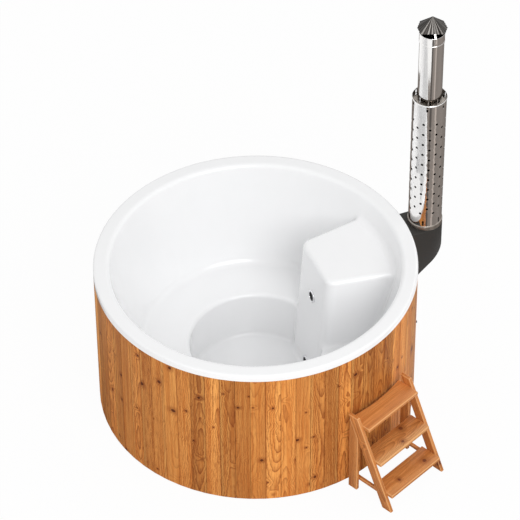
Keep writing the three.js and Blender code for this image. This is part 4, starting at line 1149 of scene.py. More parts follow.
@dataclass
class Liner:
    """White moulded shell: rim, back rest, ring seat, footwell and stove block."""

    rim_height: float = 1.071
    rim_radius: float = 1.0003
    rim_edge: float = 0.009
    skirt: float = 0.047
    rim_inner_radius: float = 0.905
    rim_inner_edge: float = 0.03
    seat_height: float = 0.39
    seat_outer_radius: float = 0.728
    seat_back_fillet: float = 0.06
    well_radius: float = 0.42
    well_edge: float = 0.024
    floor_height: float = 0.05
    floor_radius: float = 0.416
    floor_fillet: float = 0.03
    wall: float = 0.006
    bottom: float = -0.4
    arc_steps: int = 20
    table_pitch: float = 0.0025
    table_radius: float = 1.08
    table_low: float = -0.02
    table_high: float = 1.16
    pitch: float = 0.008
    quick_pitch_share: float = 1.8
    slope_step: float = 0.0006
    port_hole_x: float = 0.36
    port_hole_radius: float = 0.027
    drain_hole_radius: float = 0.0245
    hole_depth: float = 0.06
    block: StoveBlock = StoveBlock()
    table: np.ndarray = field(init=False, repr=False)

    def outline(self) -> Outline:
        """Give the moulded surface from the middle of the floor to the skirt.

        Returns:
            Its points as radius and height.
        """
        corners = [
            (0.0, self.floor_height, 0.0), (self.floor_radius, self.floor_height, self.floor_fillet),
            (self.well_radius, self.seat_height, self.well_edge),
            (self.seat_outer_radius, self.seat_height, self.seat_back_fillet),
            (self.rim_inner_radius, self.rim_height, self.rim_inner_edge),
            (self.rim_radius, self.rim_height, self.rim_edge), (self.rim_radius, self.bottom, 0.0),
        ]
        return rounded(corners, self.arc_steps)

    def measure(self) -> None:
        """Fill the table of distances to the turned form, by radius and height."""
        ring = np.array([*self.outline(), (0.0, self.bottom)])
        radii = np.arange(0.0, self.table_radius, self.table_pitch)
        heights = np.arange(self.table_low, self.table_high, self.table_pitch)
        r, z = np.meshgrid(radii, heights, indexing="ij")
        nearest = np.full(r.shape, 9.0)
        inside = np.zeros(r.shape, bool)
        for (r0, z0), (r1, z1) in zip(ring, np.roll(ring, -1, axis=0)):
            dr, dz = r1 - r0, z1 - z0
            share = np.clip(((r - r0) * dr + (z - z0) * dz) / (dr * dr + dz * dz), 0, 1)
            if max(r0, r1) > 0:
                nearest = np.minimum(nearest, np.hypot(r - r0 - share * dr, z - z0 - share * dz))
            if z0 != z1:
                inside ^= ((z0 > z) != (z1 > z)) & (r < (z - z0) * dr / dz + r0)
        self.table = np.where(inside, -nearest, nearest)

    def depth_at(self, x: np.ndarray, y: np.ndarray, z: np.ndarray) -> np.ndarray:
        """Give the distance outside the moulded form.

        Args:
            x: Places along x.
            y: Places along y.
            z: Places along z.

        Returns:
            Distances, below 0 inside the material.
        """
        column = np.hypot(x, y) / self.table_pitch
        row = (z - self.table_low) / self.table_pitch
        c = np.clip(column.astype(int), 0, self.table.shape[0] - 2)
        r = np.clip(row.astype(int), 0, self.table.shape[1] - 2)
        s, t = column - c, row - r
        low = self.table[c, r] * (1 - t) + self.table[c, r + 1] * t
        high = self.table[c + 1, r] * (1 - t) + self.table[c + 1, r + 1] * t
        shell = low * (1 - s) + high * s
        form = self.block
        reach = form.front(z)
        front = (reach - x) / math.hypot(1, form.lean_share)
        side = np.abs(y) - form.half_width - (x - reach) * form.flare_share
        plan = rounded_most(front, side / math.hypot(1, form.flare_share), form.corner)
        return rounded_least(shell, rounded_most(plan, z - form.top, form.edge), form.blend)

    def net(self) -> tuple[np.ndarray, np.ndarray]:
        """Lay a net over the moulded surface.

        Returns:
            Its points and the four-sided faces between them.
        """
        pitch = self.pitch * 1.0
        half = self.rim_radius + 1.5 * pitch
        xs = np.arange(-half, half + pitch, pitch)
        zs = np.arange(0.02, self.rim_height + 2 * pitch, pitch)
        y, z = np.meshgrid(xs, zs, indexing="ij")
        values = np.stack([self.depth_at(np.full(y.shape, x), y, z) for x in xs])
        inside = values < 0
        size = np.array(values.shape) - 1
        spans = [[slice(start, length + start) for start in (0, 1)] for length in size]
        count = sum(inside[span].astype(np.int8) for span in product(*spans))
        active = (count > 0) & (count < 8)
        cells = np.argwhere(active)
        index = np.full(active.shape, -1)
        index[active] = np.arange(len(cells))
        total = np.zeros(cells.shape)
        crossings = np.zeros(len(cells))
        for axis, i, j in product(range(3), (0, 1), (0, 1)):
            start = np.zeros(3, int)
            start[(axis + 1) % 3], start[(axis + 2) % 3] = i, j
            end = start.copy()
            end[axis] = 1
            first = values[tuple((cells + start).T)]
            last = values[tuple((cells + end).T)]
            crosses = (first < 0) != (last < 0)
            share = np.where(crosses, first / np.where(crosses, first - last, 1.0), 0.0)
            place = np.tile(start.astype(float), (len(cells), 1))
            place[:, axis] = share
            total[crosses] += place[crosses]
            crossings += crosses
        origin = np.array([xs[0], xs[0], zs[0]])
        points = origin + pitch * (cells + total / crossings[:, None])
        faces = []
        for axis in range(3):
            b, c = (axis + 1) % 3, (axis + 2) % 3
            lower = np.take(inside, range(0, size[axis]), axis=axis)
            upper = np.take(inside, range(1, size[axis] + 1), axis=axis)
            edges = np.argwhere(lower != upper)
            beside = edges[:, [b, c]]
            edges = edges[((beside > 0) & (beside < size[[b, c]])).all(axis=1)]
            out = lower[tuple(edges.T)]
            back, down = np.eye(3, dtype=int)[b], np.eye(3, dtype=int)[c]
            cells_round = [edges - shift for shift in (0 * back, back, back + down, down)]
            quad = np.stack([index[tuple(cell.T)] for cell in cells_round], axis=1)
            faces.append(np.where(out[:, None], quad, quad[:, ::-1]))
        return self.drawn_in(points, pitch), np.vstack(faces)

    def drawn_in(self, points: np.ndarray, pitch: float) -> np.ndarray:
        """Move points the last bit on to the moulded surface.

        Args:
            points: Points near it.
            pitch: Spacing of the net, the furthest that a point may move.

        Returns:
            Points on it.
        """
        step = self.slope_step
        for _ in range(3):
            value = self.depth_at(*points.T)
            slopes = []
            for axis in range(3):
                ahead, behind = points.copy(), points.copy()
                ahead[:, axis] += step
                behind[:, axis] -= step
                slopes.append((self.depth_at(*ahead.T) - self.depth_at(*behind.T)) / (2 * step))
            slope = np.stack(slopes, axis=1)
            move = -value[:, None] * slope / np.maximum((slope**2).sum(1), 0.2)[:, None]
            points = points + np.clip(move, -pitch / 2, pitch / 2)
        return points

    def holes(self) -> list[tuple[int, Place, float]]:
        """List the holes for the ports and the drain.

        Returns:
            The axis that each runs along, its middle and its radius.
        """
        form = self.block
        ports = [(0, (self.port_hole_x, form.port_y, z), self.port_hole_radius) for z in form.port_heights]
        return [*ports, (2, (form.drain_x, 0.0, self.floor_height), self.drain_hole_radius)]

    def skin(self) -> Skin:
        """Cut the holes and the skirt's edge into the net and give it a back.

        Returns:
            The shell, closed all round.
        """
        points, faces = self.net()
        radius = np.hypot(points[:, 0], points[:, 1])
        foot = self.rim_height - self.skirt
        middles = points[faces].mean(axis=1)
        outside = (np.hypot(middles[:, 0], middles[:, 1]) > self.rim_radius - 0.004) & (middles[:, 2] < foot)
        faces = faces[~outside]
        for axis, centre, reach in self.holes():
            others = [a for a in range(3) if a != axis]
            middles = points[faces].mean(axis=1)
            away = np.hypot(*(middles[:, others] - np.array(centre)[others]).T)
            near = (away < reach) & (np.abs(middles[:, axis] - centre[axis]) < self.hole_depth)
            faces = faces[~near]
        edges = np.sort(np.vstack([faces[:, [i, (i + 1) % 4]] for i in range(4)]), axis=1)
        unique, uses = np.unique(edges, axis=0, return_counts=True)
        border = np.unique(unique[uses == 1])
        rim = border[radius[border] > self.rim_radius - 0.02]
        points[rim, 2] = foot
        for axis, centre, reach in self.holes():
            others = [a for a in range(3) if a != axis]
            offsets = points[border][:, others] - np.array(centre)[others]
            away = np.hypot(*offsets.T)
            near = np.abs(points[border, axis] - centre[axis]) < self.hole_depth
            near &= away < reach * 1.6
            moved = np.array(centre)[others] + offsets[near] / away[near, None] * reach
            points[np.ix_(border[near], others)] = moved
        used, packed = np.unique(faces, return_inverse=True)
        kept = packed.reshape(faces.shape).tolist()
        return Skin([tuple(p) for p in points[used]], [tuple(f) for f in kept]).thickened(self.wall)

    def build(self) -> None:
        """Build the liner."""
        self.measure()
        piece = self.skin().made("white_liner", 60.0, weld=False)
        dress(piece, Body.TUB, Slot.ACRYLIC, "liner")


@dataclass
class TimberWall:
    """Upright boards round the tub, in eight panels."""

    radius: float = 1.0
    thickness: float = 0.025
    count: int = 68
    first_joint: float = -19.1
    foot: float = 0.006
    top: float = 1.0237
    joint_gap: float = 0.0004
    groove_half: float = 0.0012
    groove_depth: float = 0.003
    edge: float = 0.0014
    chamfer: float = 0.002
    panel_counts: tuple[int, ...] = (9, 8, 9, 8, 9, 8, 9, 8)
    open_panels: tuple[int, ...] = (1, 3)
    openings: tuple[tuple[Place, Place], ...] = (
        ((0.93, -0.126, 0.094), (1.05, 0.126, 0.406)),
        ((0.93, -0.081, 0.63), (1.05, 0.081, 0.87)),
        ((0.1007, 0.9, -0.02), (0.1293, 1.05, 0.0323)),
    )
    seed: int = 25

    def outline(self, inset: float) -> Outline:
        """Give one board's section as sideways and outwards places.

        Args:
            inset: How far its front is drawn in.

        Returns:
            The section, counter-clockwise.
        """
        half = math.pi / self.count
        face = self.radius * math.cos(half) - inset
        inner = self.radius - self.thickness
        front = self.radius * math.sin(half) - self.groove_half - inset
        deep = (self.radius - self.groove_depth) * math.sin(half) - self.joint_gap / 2 - inset * 0.2
        back = inner * math.sin(half) - self.joint_gap / 2
        ease = self.edge
        side = [
            (back, inner * math.cos(half)),
            (deep, face - self.groove_depth), (front + ease * 0.35, face - ease * 1.1),
            (front, face - ease * 0.4), (front - ease * 0.8, face),
        ]
        return side + [(-t, n) for t, n in reversed(side)]

    def board(self, index: int) -> list[list[Place]]:
        """Shape one board.

        Args:
            index: Its number round the wall.

        Returns:
            Its loops from the foot to the top.
        """
        middle = math.radians(self.first_joint) + 2 * math.pi * (index + 0.5) / self.count
        out = Vector((math.cos(middle), math.sin(middle)))
        side = Vector((out.y, -out.x))
        ease = self.chamfer
        levels = [(self.foot, ease), (self.foot + ease, 0), (self.top - ease, 0), (self.top, ease)]
        loops = []
        for height, inset in levels:
            flat = [side * t + out * n for t, n in self.outline(inset)]
            loops.append([(p.x, p.y, height) for p in flat])
        return loops

    def opening_blocks(self) -> Skin:
        """Give the blocks that leave room for the stove, the flue and the drain pipe.

        Returns:
            The blocks.
        """
        tool = Skin()
        for low, high in self.openings:
            tool.block(low, high)
        return tool

    def mark(self, piece: Piece, tones: list[float], seeds: list[float]) -> None:
        """Store each board's own axes and figure on a panel.

        Args:
            piece: The panel.
            tones: Tone of every board of the wall.
            seeds: Seed of every board of the wall.
        """
        points = read_points(piece.data)
        step = 2 * math.pi / self.count
        turn = (np.arctan2(points[:, 1], points[:, 0]) - math.radians(self.first_joint)) / step
        index = np.floor(turn).astype(int) % self.count
        middle = math.radians(self.first_joint) + (index + 0.5) * step
        across = points[:, 1] * np.cos(middle) - points[:, 0] * np.sin(middle)
        out = points[:, 0] * np.cos(middle) + points[:, 1] * np.sin(middle)
        place = np.stack([across, points[:, 2], out - self.radius + self.thickness], axis=1)
        seed = np.array(seeds)[index]
        write_values(piece.data, "board_place", "FLOAT_VECTOR", place)
        write_values(piece.data, "board_seed", "FLOAT", seed)
        write_values(piece.data, "board_tone", "FLOAT", np.array(tones)[index])
        # Some boards have sapwood, along one edge or the other.
        sap = np.sign(np.modf(seed * 19.7)[0] - 0.5) * (np.modf(seed * 5.3)[0] > 0.45)
        write_values(piece.data, "board_sap", "FLOAT", sap)

    def build(self) -> None:
        """Build the panels."""
        chance = random.Random(self.seed)
        tones = [chance.random() for _ in range(self.count)]
        seeds = [chance.random() * 3 + 0.1 for _ in range(self.count)]
        first = 0
        for number, boards in enumerate(self.panel_counts, 1):
            skin = Skin()
            for index in range(first, first + boards):
                skin.loft(self.board(index))
            first += boards
            piece = skin.made(f"wall_boards_{number}", 24.0)
            if number in self.open_panels:
                carved(piece, self.opening_blocks(), 24.0)
            self.mark(piece, tones, seeds)
            dress(piece, Body.TUB, Slot.CLADDING, f"cladding_panel_{number}")


@dataclass
class WallFrame:
    """Hoops, uprights and bearers that carry the boards and the liner."""

    ease: float = 0.0015
    seed: int = 5

    def build(self) -> None:
        """Build the frame."""
        chance = random.Random(self.seed)
        up, out = Vector((0, 0, 1)), Vector((1, 0, 0))
        sawn = {name: (out, up) for name in ("lower_hoop", "middle_hoop", "top_hoop")}
        sawn |= {f"upright_{number}": (out, up) for number in range(1, 5)}
        sawn |= {f"bearer_{place}": (out, Vector((0, 1, 0))) for place in ("far", "middle", "near")}
        for node, (across, along) in sawn.items():
            piece = softened(node, node + "_timber", self.ease)
            Board(across, along, chance.random(), chance.random()).mark(piece)
            dress(piece, Body.TUB, Slot.FRAME, node)


@dataclass
class Chimney:
    """Flue pipes, guard, spacers, collars and rain cap over the stove."""

    axis: float = 1.145
    pipe_radius: float = 0.075
    pipe_wall: float = 0.002
    pipe_foot: float = 1.0903
    pipe_joint: float = 2.0
    pipe_top: float = 2.5
    guard_radius: float = 0.105
    guard_wall: float = 0.002
    guard_foot: float = 1.0213
    guard_turn: float = 2.5
    guard_foot_levels: tuple[float, ...] = (0.0, 0.03, 0.065)
    guard_bead: Outline = field(
        default_factory=lambda: [
            (0.93, 0.0), (0.963, 0.0), (0.996, 0.0), (0.9976, 0.0014), (0.9995, 0.0025),
            (1.002, 0.0026), (1.0045, 0.0016), (1.0065, 0.0),
        ]
    )
    columns: int = 16
    column_steps: int = 6
    hole_radius: float = 0.0085
    hole_pitch: float = 0.08
    hole_starts: tuple[float, float] = (0.137, 0.177)
    hole_rows: tuple[int, int] = (10, 9)
    slot_turn: float = -4.5
    slot_count: int = 6
    slot_width: float = 0.012
    slot_levels: tuple[float, float] = (0.038, 0.959)
    slot_length: float = 0.04
    collar_radius: float = 0.1053
    collar_wall: float = 0.0044
    collar_height: float = 0.03
    band_radii: tuple[float, float] = (0.0753, 0.0783)
    band_levels: tuple[float, float] = (2.456, 2.524)
    cap_corners: tuple[tuple[float, float], ...] = (
        (0.092, 0.0), (0.073, 0.064), (-0.073, 0.064), (-0.092, 0.0), (-0.073, -0.064), (0.073, -0.064),
    )
    cap_turn: float = -22.1
    cap_brim: float = 2.55
    cap_tip: float = 2.637
    cap_wall: float = 0.001
    cap_fold: float = 0.021
    cap_fold_share: float = 0.035
    cap_levels: tuple[float, ...] = (0.06, 0.35, 0.7, 0.97, 1.0)
    cap_seed: int = 8
    sides: int = 96

    def place(self, height: float = 0.0) -> Matrix:
        """Give the move from the chimney's own axis to its place in the frame."""
        return Matrix.Translation((self.axis, 0.0, height))

    def pipe(self, low: float, high: float) -> Skin:
        """Give one pipe with eased ends.

        Args:
            low: Its foot.
            high: Its top.

        Returns:
            The closed pipe.
        """
        outer, inner = self.pipe_radius, self.pipe_radius - self.pipe_wall
        outline = [
            (inner, low), (outer - 0.0006, low), (outer, low + 0.0008), (outer, high - 0.0008),
            (outer - 0.0006, high), (inner, high),
        ]
        return Skin().turned(outline, self.sides, self.place())

    def guard_sheet(self) -> Skin:
        """Lay out the guard's outer face, with its holes and the bead at its top.

        Returns:
            The open sheet, standing on the ground.
        """
        cell = self.hole_pitch / self.column_steps
        low = self.hole_starts[0] - self.hole_pitch / 2
        rows = round((self.hole_rows[0] * self.hole_pitch) / cell)
        heights = [*self.guard_foot_levels, *[low + cell * k for k in range(rows + 1)]]
        wide = 2 * math.pi / self.columns / self.column_steps
        points, lookup = [], {}

        def put(turn: float, height: float, out: float = 0.0) -> int:
            """Give the index of a point on the guard, made once.

            Args:
                turn: Its angle in steps.
                height: Its height on the guard.
                out: How far it stands out.

            Returns:
                Its index.
            """
            key = (round(turn % (self.columns * self.column_steps), 4), round(height, 6))
            if key not in lookup:
                angle = turn * wide + math.radians(self.guard_turn)
                radius = self.guard_radius + out
                lookup[key] = len(points)
                points.append((radius * math.cos(angle), radius * math.sin(angle), height))
            return lookup[key]

        levels = [(h, 0.0) for h in heights] + self.guard_bead
        faces = []
        for column in range(self.columns):
            kind = column % 2
            left = (column - 0.5) * self.column_steps
            raised = self.hole_starts[kind] - self.hole_pitch / 2 - low
            start = len(self.guard_foot_levels) + round(raised / cell)
            stop = start + self.hole_rows[kind] * self.column_steps
            for row, step in product(range(len(levels) - 1), range(self.column_steps)):
                if start <= row < stop:
                    continue
                (z0, r0), (z1, r1) = levels[row], levels[row + 1]
                corners = [(step, z0, r0), (step + 1, z0, r0), (step + 1, z1, r1), (step, z1, r1)]
                faces.append(tuple(put(left + s, z, r) for s, z, r in corners))
            for hole in range(self.hole_rows[kind]):
                middle = self.hole_starts[kind] + hole * self.hole_pitch
                faces += self.tile(put, left, middle, cell, wide)
        return Skin(points, faces)

    def tile(self, put: Callable[..., int], left: float, middle: float, cell: float, wide: float) -> Faces:
        """Give the faces between one hole and the square of cells round it.

        Args:
            put: Gives the index of a point by angle and height.
            left: Angle of the square's left side, in steps.
            middle: Height of the hole's middle.
            cell: Height of a cell.
            wide: Angle of a step.

        Returns:
            The faces.
        """
        half = self.column_steps // 2
        steps = range(-half, half)
        border = [(s, -half) for s in steps] + [(half, s) for s in steps]
        border += [(-s, half) for s in steps] + [(-half, -s) for s in steps]
        outer, inner = [], []
        for s, k in border:
            outer.append(put(left + half + s, middle + k * cell))
            angle = math.atan2(k * cell, s * wide * self.guard_radius)
            turn = self.hole_radius * math.cos(angle) / self.guard_radius / wide
            inner.append(put(left + half + turn, middle + self.hole_radius * math.sin(angle)))
        count = len(border)
        return [(outer[i], outer[(i + 1) % count], inner[(i + 1) % count], inner[i]) for i in range(count)]

    def slots(self) -> Skin:
        """Give the tools that cut the slots at both ends of the guard.

        Returns:
            The tools.
        """
        half, reach, steps = self.slot_width / 2, 0.03, 16
        sides = (self.guard_radius - reach, self.guard_radius + reach)
        tool = Skin()
        for number, level in product(range(self.slot_count), self.slot_levels):
            turn = math.radians(self.slot_turn + self.guard_turn) + 2 * math.pi * number / self.slot_count
            spin = Matrix.Rotation(turn, 4, "Z")
            ring = []
            for start, middle in ((0, level + self.slot_length - half), (math.pi, level + half)):
                for step in range(steps + 1):
                    angle = start + math.pi * step / steps
                    ring.append((half * math.cos(angle), middle + half * math.sin(angle)))
            tool.loft([[spin @ Vector((x, y, z)) for y, z in ring] for x in sides])
        return tool

    def build_guard(self) -> None:
        """Build the perforated guard."""
        piece = self.guard_sheet().thickened(self.guard_wall).made("chimney_guard")
        carved(piece, self.slots(), 30.0)
        piece.data.transform(self.place(self.guard_foot))
        dress(piece, Body.TUB, Slot.STAINLESS, "perforated_guard")
        # Faces that look in towards the pipe take the near-black steel, which paints the shade inside the
        # guard and its holes.
        piece.data.materials.append(HEAT_TINT_AND_SHADE_BLACK)
        for face in piece.data.polygons:
            out = Vector((face.center.x - self.axis, face.center.y, 0.0))
            face.material_index = int(face.normal.dot(out.normalized()) < -0.3)

    def build_collars(self) -> None:
        """Build the ring under the guard and the one under the cap."""
        inner, outer = self.collar_radius, self.collar_radius + self.collar_wall
        low, high = self.guard_foot, self.guard_foot + self.collar_height
        outline = [
            (inner, low), (outer - 0.001, low), (outer, low + 0.001), (outer, high - 0.003),
            (outer - 0.0012, high - 0.0006), (outer - 0.003, high), (inner, high),
        ]
        piece = Skin().turned(outline, self.sides, self.place()).made("guard_foot_ring")
        # The foot ring is drawn mid-grey as painted shade.
        dress(piece, Body.TUB, Slot.STAINLESS, "guard_collar", finish=PAINTED_SHADE_GREY)
        (inner, outer), (low, high) = self.band_radii, self.band_levels
        outline = [
            (inner, low), (outer - 0.0006, low), (outer, low + 0.0008), (outer, low + 0.008),
            (outer - 0.001, low + 0.0095), (outer - 0.001, high - 0.0095), (outer, high - 0.008),
            (outer, high - 0.0008), (outer - 0.0006, high), (inner, high),
        ]
        piece = Skin().turned(outline, self.sides, self.place()).made("cap_band")
        dress(piece, Body.TUB, Slot.STAINLESS, "cap_collar")

    def build_cap(self) -> None:
        """Build the rain cap: a sheet in fine radial folds round six corners."""
        chance = random.Random(self.cap_seed)
        spin = Matrix.Rotation(math.radians(self.cap_turn), 4, "Z")
        corners = [spin @ Vector((x, y, 0.0)) for x, y in self.cap_corners]
        brim = []
        for here, after in zip(corners, corners[1:] + corners[:1]):
            steps = 2 * max(2, round((after - here).length / self.cap_fold))
            brim += [here.lerp(after, k / steps) * (1 - self.cap_fold_share * (k % 2)) for k in range(steps)]
        fall = Vector((0.0, 0.0, self.cap_brim - self.cap_tip))
        top = Vector((0.0, 0.0, self.cap_tip))
        points, faces, count = [top], [], len(brim)
        for share in self.cap_levels:
            points += [top + (point + fall) * share for point in brim]
        faces += [(0, 1 + k, 1 + (k + 1) % count) for k in range(count)]
        for level, k in product(range(len(self.cap_levels) - 1), range(count)):
            first, after = 1 + level * count, (k + 1) % count
            faces.append((first + k, first + count + k, first + count + after, first + after))
        piece = Skin(points, faces).thickened(self.cap_wall).made("rain_cap_sheet", 9.0, weld=False)
        piece.data.transform(self.place())
        # Each fold point gets a painted reflection shade, most of them dark, which streak the cap from its
        # tip.
        shades = [0.3, *[chance.random() ** 2.6 for _ in range(count)] * len(self.cap_levels)] * 2
        write_values(piece.data, "fold_shade", "FLOAT", np.array(shades))
        dress(piece, Body.TUB, Slot.STAINLESS, "rain_cap", finish=FOLD_REFLECTION)

    def build(self) -> None:
        """Build the chimney."""
        piece = self.pipe(self.pipe_foot, self.pipe_joint).made("lower_pipe_length")
        # The lower pipe, inside the guard, is near-black: painted shade seen through the holes, given as
        # heat tint.
        dress(piece, Body.TUB, Slot.STAINLESS, "lower_flue_pipe", finish=HEAT_TINT_AND_SHADE_BLACK)
        piece = self.pipe(self.pipe_joint + 0.0003, self.pipe_top).made("upper_pipe_length")
        dress(piece, Body.TUB, Slot.STAINLESS, "upper_flue_pipe")
        self.build_guard()
        self.build_collars()
        self.build_cap()
        eased = {"flue_elbow": 0.0004, "lower_guard_spacer": 0.0004, "upper_guard_spacer": 0.0004}
        eased |= {f"cap_leg_{number}": 0.0005 for number in (1, 2, 3)}
        for node, width in eased.items():
            piece = softened(node, node + "_sheet", width, 2, 24.0)
            # The spacers between pipe and guard are drawn darker as painted shade.
            spacer = node.endswith("spacer")
            dress(piece, Body.TUB, Slot.STAINLESS, node, finish=PAINTED_SHADE_GREY if spacer else None)


@dataclass
class FlueCasing:
    """Coated steel box round the flue's bend, with a round nose and a sloping underside."""

    half_width: float = 0.11
    nose: float = 1.145
    top: float = 1.021
    foot: float = 0.614
    slope_share: float = 0.9
    tub_radius: float = 1.0012
    wall: float = 0.003
    edge: float = 0.004
    hole: float = 0.0765
    nose_steps: int = 40
    side_steps: int = 6
    edge_steps: int = 4
    back_steps: int = 12

    def plan(self, inset: float) -> Outline:
        """Give the casing's plan from one end at the tub to the other.

        Args:
            inset: How far it is drawn in.

        Returns:
            Points of the open outline.
        """
        half = self.half_width - inset
        start = math.sqrt(self.tub_radius**2 - half**2)
        side = [start + (self.nose - start) * k / self.side_steps for k in range(self.side_steps)]
        nose = [math.radians(-90 + 180 * k / self.nose_steps) for k in range(self.nose_steps + 1)]
        arc = [(self.nose + half * math.cos(a), half * math.sin(a)) for a in nose]
        return [(x, -half) for x in side] + arc + [(x, half) for x in reversed(side)]

    def underside(self, x: float) -> float:
        """Give the height of the sloping underside."""
        return self.foot + self.slope_share * (x - 1.0)

    def skin(self) -> Skin:
        """Give the casing's sheet: sides, rounded edges, top plate with its hole and underside.

        Returns:
            The open sheet.
        """
        rings = []
        for step in range(self.edge_steps + 1):
            turn = math.pi / 2 * step / self.edge_steps
            inset, lift = self.edge * (1 - math.sin(turn)), self.edge * (1 - math.cos(turn))
            rings.append([(x, y, self.underside(x) + lift) for x, y in self.plan(inset)])
        for step in range(self.edge_steps + 1):
            turn = math.pi / 2 * step / self.edge_steps
            inset, drop = self.edge * (1 - math.cos(turn)), self.edge * (1 - math.sin(turn))
            rings.append([(x, y, self.top - drop) for x, y in self.plan(inset)])
        count = len(rings[0])
        points = [p for ring in rings for p in ring]
        faces = []
        for level, index in product(range(len(rings) - 1), range(count - 1)):
            a = level * count + index
            faces.append((a, a + 1, a + 1 + count, a + count))
        skin = Skin(points, faces)
        self.plate(skin, rings[-1], True)
        self.plate(skin, rings[0], False)
        return skin

    def plate(self, skin: Skin, ring: list[Place], upper: bool) -> None:
        """Add the top plate round its hole, or the plain underside.

        Args:
            skin: The skin that gets the plate.
            ring: The plate's edge.
            upper: Whether it is the top plate.
        """
        start, end = ring[-1][1], ring[0][1]
        back = []
        for step in range(1, self.back_steps):
            y = start + (end - start) * step / self.back_steps
            x = math.sqrt(self.tub_radius**2 - y * y)
            back.append((x, y, self.top if upper else self.underside(x)))
        border = [*ring, *back]
        if not upper:
            skin.add(border, [tuple(range(len(border) - 1, -1, -1))])
            return
        inner = []
        for x, y, z in border:
            angle = math.atan2(y, x - self.nose)
            inner.append((self.nose + self.hole * math.cos(angle), self.hole * math.sin(angle), z))
        count = len(border)
        faces = [(i, (i + 1) % count, count + (i + 1) % count, count + i) for i in range(count)]
        skin.add([*border, *inner], faces)

    def build(self) -> None:
        """Build the casing."""
        sheet = self.skin().made("casing_sheet", 24.0)
        shell = sheet.modifiers.new("wall", "SOLIDIFY")
        shell.thickness = self.wall
        shell.offset = -1.0
        settled(sheet)
        smooth(sheet, 24.0)
        dress(sheet, Body.TUB, Slot.COAT, "flue_casing")


@dataclass
class WaterPorts:
    """Chrome rings with black grilles in the front of the stove block."""

    sides: int = 64
    block: StoveBlock = StoveBlock()
    gap: float = 0.0003
    flange_radius: float = 0.042
    flange_thickness: float = 0.009
    mouth_radius: float = 0.0285
    mouth_depth: float = 0.005
    neck_radius: float = 0.025
    bore_radius: float = 0.021
    neck_length: float = 0.06
    hole_radius: float = 0.0045
    hole_circle: float = 0.017
    hole_count: int = 6
    hole_sides: int = 24

    def place(self, height: float) -> Matrix:
        """Give the move from a port's own axis, which runs into the block, to its place."""
        turn = Matrix.Rotation(math.pi / 2 + math.atan(self.block.lean_share), 4, "Y")
        return Matrix.Translation((self.block.front(height), self.block.port_y, height)) @ turn

    def ring(self, height: float) -> Skin:
        """Give the ring with its dished flange and its neck.

        Args:
            height: The port's height.

        Returns:
            The ring.
        """
        face = -self.gap - self.flange_thickness
        corners = [
            (self.bore_radius, self.neck_length, 0.0), (self.neck_radius, self.neck_length, 0.0),
            (self.neck_radius, -self.gap, 0.0), (self.flange_radius, -self.gap, 0.0008),
            (self.flange_radius, face + 0.003, 0.0028), (self.flange_radius - 0.006, face, 0.004),
            (self.mouth_radius + 0.001, face, 0.0012),
            (self.mouth_radius, face + self.mouth_depth, 0.0),
            (self.bore_radius, face + self.mouth_depth, 0.0),
        ]
        return Skin().turned(rounded(corners, 4), self.sides, self.place(height))

    def grille(self, height: float, name: str) -> Piece:
        """Build the grille: a dished disc with a ring of holes.

        Args:
            height: The port's height.
            name: The piece's name.

        Returns:
            The grille.
        """
        radius = self.mouth_radius - self.gap
        back = -self.gap - self.flange_thickness + self.mouth_depth - self.gap
        front = -self.gap - self.flange_thickness + 0.001
        outline = [
            (0.0, front + 0.0008), (0.008, front + 0.0007), (0.02, front + 0.0003),
            (radius - 0.003, front), (radius - 0.0008, front + 0.0004), (radius, front + 0.001),
            (radius, back), (0.0, back),
        ]
        piece = Skin().turned(outline, self.sides, self.place(height)).made(name)
        low, high = front - 0.02, back + 0.02
        rod = [(0.0, low), (self.hole_radius, low), (self.hole_radius, high), (0.0, high)]
        drills = Skin().turned(rod, self.hole_sides, self.place(height))
        for number in range(self.hole_count):
            spin = Matrix.Rotation(2 * math.pi * number / self.hole_count, 4, "Z")
            turn = spin @ Matrix.Translation((self.hole_circle, 0, 0))
            drills.turned(rod, self.hole_sides, self.place(height) @ turn)
        return carved(piece, drills)

    def build(self) -> None:
        """Build both ports."""
        for label, height in zip(("upper", "lower"), self.block.port_heights):
            piece = self.ring(height).made(f"{label}_port_flange")
            dress(piece, Body.TUB, Slot.CHROME, f"{label}_port_ring")
            piece = self.grille(height, f"{label}_port_strainer")
            dress(piece, Body.TUB, Slot.PLASTIC, f"{label}_port_grille")


